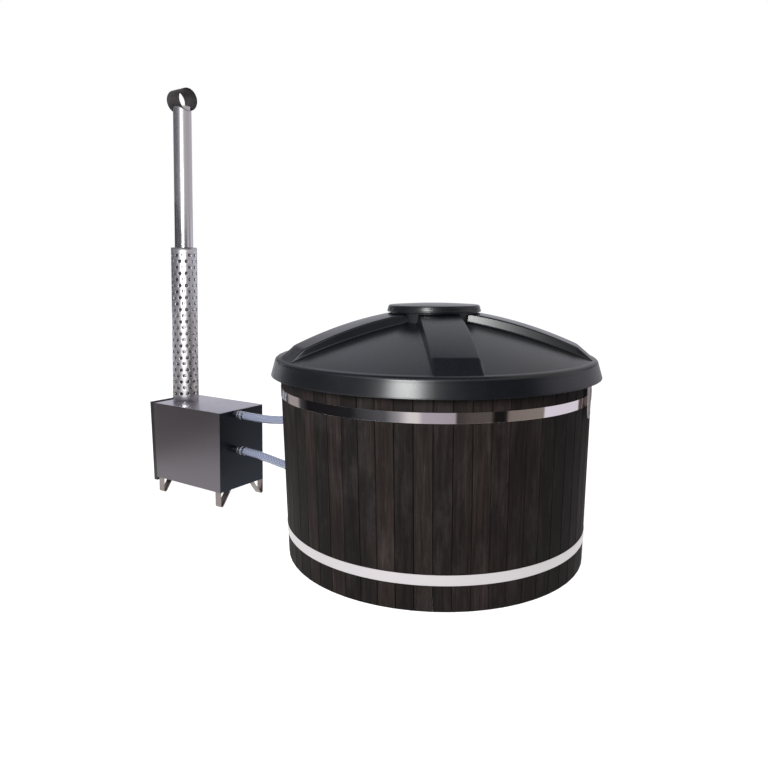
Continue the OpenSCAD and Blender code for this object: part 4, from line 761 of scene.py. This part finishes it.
flue = {
    "centre": (-2.015, -0.110), "radius": 0.0635, "wall": 0.002, "foot": 0.6332,
    "split": 1.680, "top": 2.736, "steps": 96,
    "fit": 0.0002, "pushIn": 0.05, "endRows": 0.3, "corner": 0.0006,
    "shieldRadius": 0.090, "shieldTop": 1.735, "shieldWall": 0.0015, "crease": 60,
    "rowPitch": 0.043, "rowsCount": 24, "holes": 12, "corners": 16,
    "dimple": 0.0007,
    # rings round a hole, by radius and by their share of the dimple's depth
    "holeRings": [(0.0165, 0.0), (0.0140, 0.35), (0.0125, 1.0)],
    "cowlRounding": 0.0005,
}


def placeAtFlue(bm):
    bmesh.ops.translate(bm, verts=bm.verts, vec=(flue["centre"][0], flue["centre"][1], 0))


outer, wall, fit, split = flue["radius"], flue["wall"], flue["fit"], flue["split"]
bm = turnedForm([(outer - wall, flue["foot"]), (outer, flue["foot"]), (outer, split),
                 (outer - wall, split)], flue["steps"], closed=True)
placeAtFlue(bm)
finishPiece("lowerFluePipe", bm, metal["drawnStainlessTube"], "root",
            "flue_pipe_lower")
step, inEnd, top, corner = split + fit, split - flue["pushIn"], flue["top"], flue["corner"]
bm = turnedForm([(outer - 2 * wall, inEnd), (outer - wall - fit, inEnd), (outer - wall - fit, step),
                 (outer, step), (outer, step + flue["endRows"]), (outer, top - flue["endRows"]),
                 (outer, top - corner), (outer - corner, top), (outer - 2 * wall, top)],
                flue["steps"], closed=True)
placeAtFlue(bm)
finishPiece("upperFluePipe", bm, metal["drawnStainlessTube"], "root",
            "flue_pipe_upper")

# one cell of the shield, with its dimpled hole, is repeated flat and then rolled round
cellWidth = 2 * math.pi * flue["shieldRadius"] / flue["holes"]
cellHeight = flue["rowPitch"]
perSide = flue["corners"] // 4
bm = bmesh.new()
outline = []
for i in range(flue["corners"]):
    turn = (i + perSide / 2) / perSide
    side, along = int(turn) % 4, turn % 1 - 0.5
    outline.append(((0.5, along), (-along, 0.5), (-0.5, -along), (along, -0.5))[side])
loops = [[bm.verts.new((x * cellWidth, y * cellHeight, 0)) for x, y in outline]]
turns = [2 * math.pi * i / flue["corners"] for i in range(flue["corners"])]
for radius, share in flue["holeRings"]:
    loops.append([bm.verts.new((radius * math.cos(a), radius * math.sin(a),
                                -share * flue["dimple"])) for a in turns])
loopEdges = [[bm.edges.new((a, b)) for a, b in zip(loop, loop[1:] + loop[:1])] for loop in loops]
for outside, inside in zip(loopEdges, loopEdges[1:]):
    bmesh.ops.bridge_loops(bm, edges=outside + inside)
cell = list(bm.verts) + list(bm.edges) + list(bm.faces)
firstRow = flue["foot"] + (flue["shieldTop"] - flue["foot"]
                           - (flue["rowsCount"] - 1) * cellHeight) / 2
for row in range(flue["rowsCount"]):
    for column in range(flue["holes"]):
        copy = bmesh.ops.duplicate(bm, geom=cell)["geom"]
        bmesh.ops.translate(bm, verts=[g for g in copy if isinstance(g, bmesh.types.BMVert)], vec=(
            (column + (row % 2) / 2) * cellWidth, firstRow + row * cellHeight, 0))
bmesh.ops.delete(bm, geom=[g for g in cell if isinstance(g, bmesh.types.BMVert)], context="VERTS")
for v in bm.verts:
    a, r = v.co.x / flue["shieldRadius"], flue["shieldRadius"] + v.co.z
    v.co = (r * math.cos(a), r * math.sin(a), v.co.y)
bmesh.ops.remove_doubles(bm, verts=bm.verts, dist=mergeDistance)
low, high = firstRow - cellHeight / 2, firstRow + (flue["rowsCount"] - 0.5) * cellHeight
for level, target in ((low, flue["foot"]), (high, flue["shieldTop"])):
    rim = [e for e in bm.edges if e.is_boundary
           and all(abs(v.co.z - level) < 10 * mergeDistance for v in e.verts)]
    made = bmesh.ops.extrude_edge_only(bm, edges=rim)["geom"]
    for v in made:
        if isinstance(v, bmesh.types.BMVert):
            v.co.z = target
bmesh.ops.recalc_face_normals(bm, faces=bm.faces)
outward = sum(f.normal.xy.dot(f.calc_center_median().xy) for f in bm.faces)
if outward < 0:
    bmesh.ops.reverse_faces(bm, faces=bm.faces)
placeAtFlue(bm)
shield = finishPiece("heatShield", bm, metal["perforatedStainless"], "root",
                     "heat_shield", flue["crease"])
thickenInwards(shield, "sheet", flue["shieldWall"])
softenedCopy("flueCowl", "flue_cowl", metal["sootedStainless"], "root",
             flue["cowlRounding"])
print("chimney made")


# sheet metal, bars and boards that keep their CAD form but get rounded edges

softened = [
    ("casingSheet", "casing", metal["casingSteel"], "root", "heater_steel", 0.0022),
    # topSheet: the casing's steel painted paler, a painted reflection
    ("topSheet", "top_plate", metal["topSteelPaintedReflection"], "root", "heater_steel", 0.0008),
    # endSheet: the casing's steel painted blue-black, painted shade
    ("endSheet", "end_panel", metal["endSteelPaintedShade"], "root", "heater_steel", 0.0008),
    ("frontFrame", "front_frame", metal["casingSteel"], "root", "heater_steel", 0.0008),
    ("frontPlate", "front_plate", metal["heatproofPaint"], "root", "black_steel", 0.0012),
    ("bentFeet", "heater_feet", metal["bentStainless"], "root", "foot_steel", 0.0008),
    ("fireDoor", "fire_door", metal["heatproofPaint"], "fire_door", "black_steel", 0.0015),
    ("ashDrawer", "ash_drawer", metal["heatproofPaint"], "ash_drawer", "black_steel", 0.0005),
    ("strapRight", "strap_right", metal["brushedStainless"], "strap_right", "satin_steel", 0.0006),
    ("strapLeft", "strap_left", metal["brushedStainless"], "strap_left", "satin_steel", 0.0006),
    ("benchSlats", "bench_slats", wood["planedPine"], "root", "bench_wood", 0.002),
    ("benchFrames", "bench_frames", wood["planedPine"], "root", "bench_wood", 0.002),
    ("bearerBeams", "bearers", wood["sawnPine"], "root", "base_wood", 0.002),
]
for name, node, material, body, slot, width in softened:
    softenedCopy(name, node, material, body, width)
print("edges rounded")

# CAD nodes that stay, with their finishes
finishes = {
    "staves": wood["stainedPine"], "port_stave": wood["stainedPine"],
    "floor_boards": wood["sawnPine"],
    "tub_insert": plastic["mouldedPolypropylene"],
    "insert_floor": plastic["mouldedPolypropylene"], "wall_fittings": plastic["mouldedNylon"],
    "port_strainers": metal["polishedStainless"], "drain_pipe": metal["brushedStainless"],
    "drain_strainer": metal["polishedStainless"], "valve_body": metal["machinedBrass"],
    "valve_ball": metal["polishedStainless"], "drain_lever": plastic["dippedVinyl"],
    "band_lugs": metal["brushedStainless"], "band_bolts": metal["zincPlatedSteel"],
    "lid_foam": plastic["rigidFoam"], "lid_liner": plastic["mouldedPolyethylene"],
    "strap_brackets": metal["brushedStainless"], "strap_pins": metal["zincPlatedSteel"],
    "firebox": metal["heatTintedSteel"], "baffle_plate": metal["heatTintedSteel"],
    "grate": metal["castIron"],
    "drawer_runners": metal["heatTintedSteel"], "hinge_lugs": metal["heatproofPaint"],
    "hinge_pins": metal["zincPlatedSteel"], "door_gasket": plastic["glassFibreRope"],
    "door_baffle": metal["heatTintedSteel"], "door_handle": metal["zincPlatedSteel"],
    "drawer_guides": metal["heatproofPaint"], "air_slide": metal["zincPlatedSteel"],
    "flue_collar": metal["drawnStainlessTube"], "shield_spacers": metal["zincPlatedSteel"],
    "hose_nipples": metal["galvanisedIron"], "hose_clamps": metal["clampStainless"],
}
for node, material in finishes.items():
    mesh = cadNodes[node].data
    if not mesh.materials:
        mesh.materials.append(material)
    for place in range(len(mesh.materials)):
        mesh.materials[place] = material
print("finishes set")


# studio: white floor and backdrop, soft lamps, and rings of grey card that only reflections see

studio = {
    "floorSize": 40.0,
    "paper": "#b4b4b4",
    "paperGlow": 0.93,  # lights the paper to white for the camera and in reflections only
    "worldDiffuse": 0.3,
    "ringRadius": 2.9,
    "ringSteps": 96,
    # each ring of card: its foot, its top, its brightness, and its tones by heading
    "rings": [
        {"name": "cardLow", "foot": 0.002, "top": 0.62, "bright": 1.1, "tones": [
            (-180, "#6e6e70"), (-173, "#a8a09c"), (-160, "#a8a09c"), (-157, "#4b494a"),
            (-148, "#1c1a1c"), (-110, "#242426"), (-106, "#3c3c3e"), (-88, "#5c5d60"),
            (-80, "#a5a3a5"), (-74, "#eae5e2"), (-69, "#eae5e2"), (-66, "#bcb4bb"),
            (-47, "#b1a8af"), (-46.5, "#453f3e"), (-38, "#5a5350"), (-26, "#5f5754"),
            (-25, "#1c1a1a"), (-17, "#1c1a1a"), (-15, "#857b74"), (10, "#8f857e"),
            (11, "#ece6ee"), (47, "#e6e0ea"), (48, "#5a4c46"), (90, "#6b5d57"), (180, "#6e6e70")]},
        {"name": "cardMiddle", "foot": 0.62, "top": 1.25, "bright": 1.1, "tones": [
            (-180, "#dcdce4"), (-165, "#8a8a90"), (-141, "#626268"), (-125, "#bdbdc2"),
            (-100, "#ffffff"), (-85, "#ffffff"), (-66, "#bab9be"), (-40, "#77757a"),
            (0, "#85838a"), (33, "#b4b3ba"), (90, "#b9b8be"), (120, "#909096"), (150, "#dcdce4"),
            (180, "#dcdce4")]},
        {"name": "cardHigh", "foot": 1.25, "top": 2.15, "bright": 1.6, "tones": [
            (-180, "#45464a"), (-150, "#25262a"), (-115, "#3a3b40"), (-100, "#4a4c52"),
            (-60, "#3a3c42"), (-45, "#26272c"), (-5, "#303137"), (12, "#b4b2bc"),
            (40, "#b4b2bc"), (55, "#5b5a60"), (85, "#a4a4ac"), (110, "#bcbcc4"),
            (140, "#b0b0b8"), (165, "#5a5a60"), (180, "#45464a")]},
        {"name": "cardTop", "foot": 2.15, "top": 6.5, "bright": 1.2, "tones": [
            (-180, "#7a7a7f"), (-160, "#54555a"), (-141, "#68696f"), (-122, "#b4b4ba"),
            (-105, "#ffffff"), (-60, "#ffffff"), (-40, "#bdbbb9"), (33, "#b5b1ad"),
            (66, "#b4b0b4"), (90, "#bcbcc2"), (150, "#bcbcc4"), (180, "#7a7a7f")]},
    ],
    "ceiling": {"height": 6.5, "tone": "#4a4a52"},
    "lamps": [
        {"name": "key", "place": (0.88, -3.8, 2.35), "size": (0.6, 1.5), "watts": 190.0,
         # the heater's level top would mirror it as a blank white shape, seen from behind
         "misses": "topSheet"},
        {"name": "rightFill", "place": (3.9, 1.6, 2.0), "size": (1.2, 2.0), "watts": 9.0,
         "mirrored": False},
        {"name": "leftFill", "place": (-3.6, -3.4, 2.6), "size": (1.6, 2.0), "watts": 48.0},
        {"name": "overhead", "place": (-0.6, 0.4, 4.6), "size": (3.0, 3.0), "watts": 80.0,
         "mirrored": False},
    ],
    "aim": (-0.5, 0.0, 0.7),
}


def seenDirectly(tree):
    # 1 for what the camera, a reflection or a clear hose sees, and 0 for what only lights
    rays = addNode(tree, "LightPath")
    mirrored = addNode(tree, "Math", {"operation": "MAXIMUM"}, {
        0: rays.outputs["Is Glossy Ray"], 1: rays.outputs["Is Transmission Ray"]})
    return addNode(tree, "Math", {"operation": "MAXIMUM"}, {
        0: rays.outputs["Is Camera Ray"], 1: mirrored.outputs[0]}).outputs[0]


def hangCard(name, bm, material):
    card = newObject(name, bm, material)
    card.visible_camera = False
    card.visible_diffuse = False
    card.visible_shadow = False
    card.visible_transmission = False
    card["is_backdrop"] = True


floorMaterial = bpy.data.materials.new("paperSweep")
tree = clearedTree(floorMaterial)
paper = addNode(tree, "BsdfDiffuse", None, {"Color": linearColour(studio["paper"])})
glow = addNode(tree, "Emission", None, {
    "Color": linearColour("#ffffff"), "Strength": studio["paperGlow"]})
unlit = addNode(tree, "Emission", None, {"Color": linearColour("#000000"), "Strength": 0.0})
extra = addNode(tree, "MixShader", None, {
    0: seenDirectly(tree), 1: unlit.outputs[0], 2: glow.outputs[0]})
total = addNode(tree, "AddShader", None, {0: paper.outputs[0], 1: extra.outputs[0]})
addNode(tree, "OutputMaterial", None, {"Surface": total.outputs[0]})
bm = bmesh.new()
bmesh.ops.create_grid(bm, x_segments=1, y_segments=1, size=studio["floorSize"] / 2)
newObject("floor", bm, floorMaterial)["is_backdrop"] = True

for ring in studio["rings"]:
    material = bpy.data.materials.new(ring["name"])
    tree = clearedTree(material)
    axes = addNode(tree, "SeparateXYZ", None, {0: addNode(tree, "TexCoord").outputs["Object"]})
    heading = addNode(tree, "Math", {"operation": "ARCTAN2"},
                      {0: axes.outputs["Y"], 1: axes.outputs["X"]})
    share = addNode(tree, "MapRange", None, {
        "Value": heading.outputs[0], "From Min": -math.pi, "From Max": math.pi})
    tones = setRamp(addNode(tree, "ValToRGB", None, {"Fac": share.outputs[0]}),
                    [((turn + 180) / 360, hexText) for turn, hexText in ring["tones"]])
    glowing = addNode(tree, "Emission", None, {
        "Color": tones.outputs["Color"], "Strength": ring["bright"]})
    addNode(tree, "OutputMaterial", None, {"Surface": glowing.outputs[0]})
    hangCard(ring["name"], turnedForm([(studio["ringRadius"], ring["foot"]),
                                       (studio["ringRadius"], ring["top"])],
                                      studio["ringSteps"]), material)

ceilingMaterial = bpy.data.materials.new("ceilingCard")
tree = clearedTree(ceilingMaterial)
dim = addNode(tree, "Emission", None, {"Color": linearColour(studio["ceiling"]["tone"])})
addNode(tree, "OutputMaterial", None, {"Surface": dim.outputs[0]})
bm = bmesh.new()
bmesh.ops.create_circle(bm, cap_ends=True, segments=studio["ringSteps"],
                        radius=studio["ringRadius"])
bmesh.ops.translate(bm, verts=bm.verts, vec=(0, 0, studio["ceiling"]["height"]))
hangCard("ceiling", bm, ceilingMaterial)

for lamp in studio["lamps"]:
    data = bpy.data.lights.new(lamp["name"], "AREA")
    data.shape = "RECTANGLE"
    data.size, data.size_y = lamp["size"]
    data.energy = lamp["watts"]
    light = bpy.data.objects.new(lamp["name"], data)
    light.location = lamp["place"]
    aim = Vector(studio["aim"]) - light.location
    light.rotation_euler = aim.to_track_quat("-Z", "Y").to_euler()
    light.visible_glossy = lamp.get("mirrored", True)
    scene.collection.objects.link(light)
    if "misses" in lamp:
        missed = bpy.data.collections.new(lamp["name"] + "Misses")
        missed.objects.link(bpy.data.objects[lamp["misses"]])
        light.light_linking.receiver_collection = missed
        missed.collection_objects[0].light_linking.link_state = "EXCLUDE"

world = bpy.data.worlds.new("studioWorld")
scene.world = world
tree = clearedTree(world)
soft = addNode(tree, "Background", None, {
    "Color": linearColour("#ffffff"), "Strength": studio["worldDiffuse"]})
white = addNode(tree, "Background", None, {"Color": linearColour("#ffffff"), "Strength": 1.0})
mixed = addNode(tree, "MixShader", None, {
    0: seenDirectly(tree), 1: soft.outputs[0], 2: white.outputs[0]})
addNode(tree, "OutputWorld", None, {"Surface": mixed.outputs[0]})
scene.view_settings.view_transform = "Standard"
print("studio ready")

low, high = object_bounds()
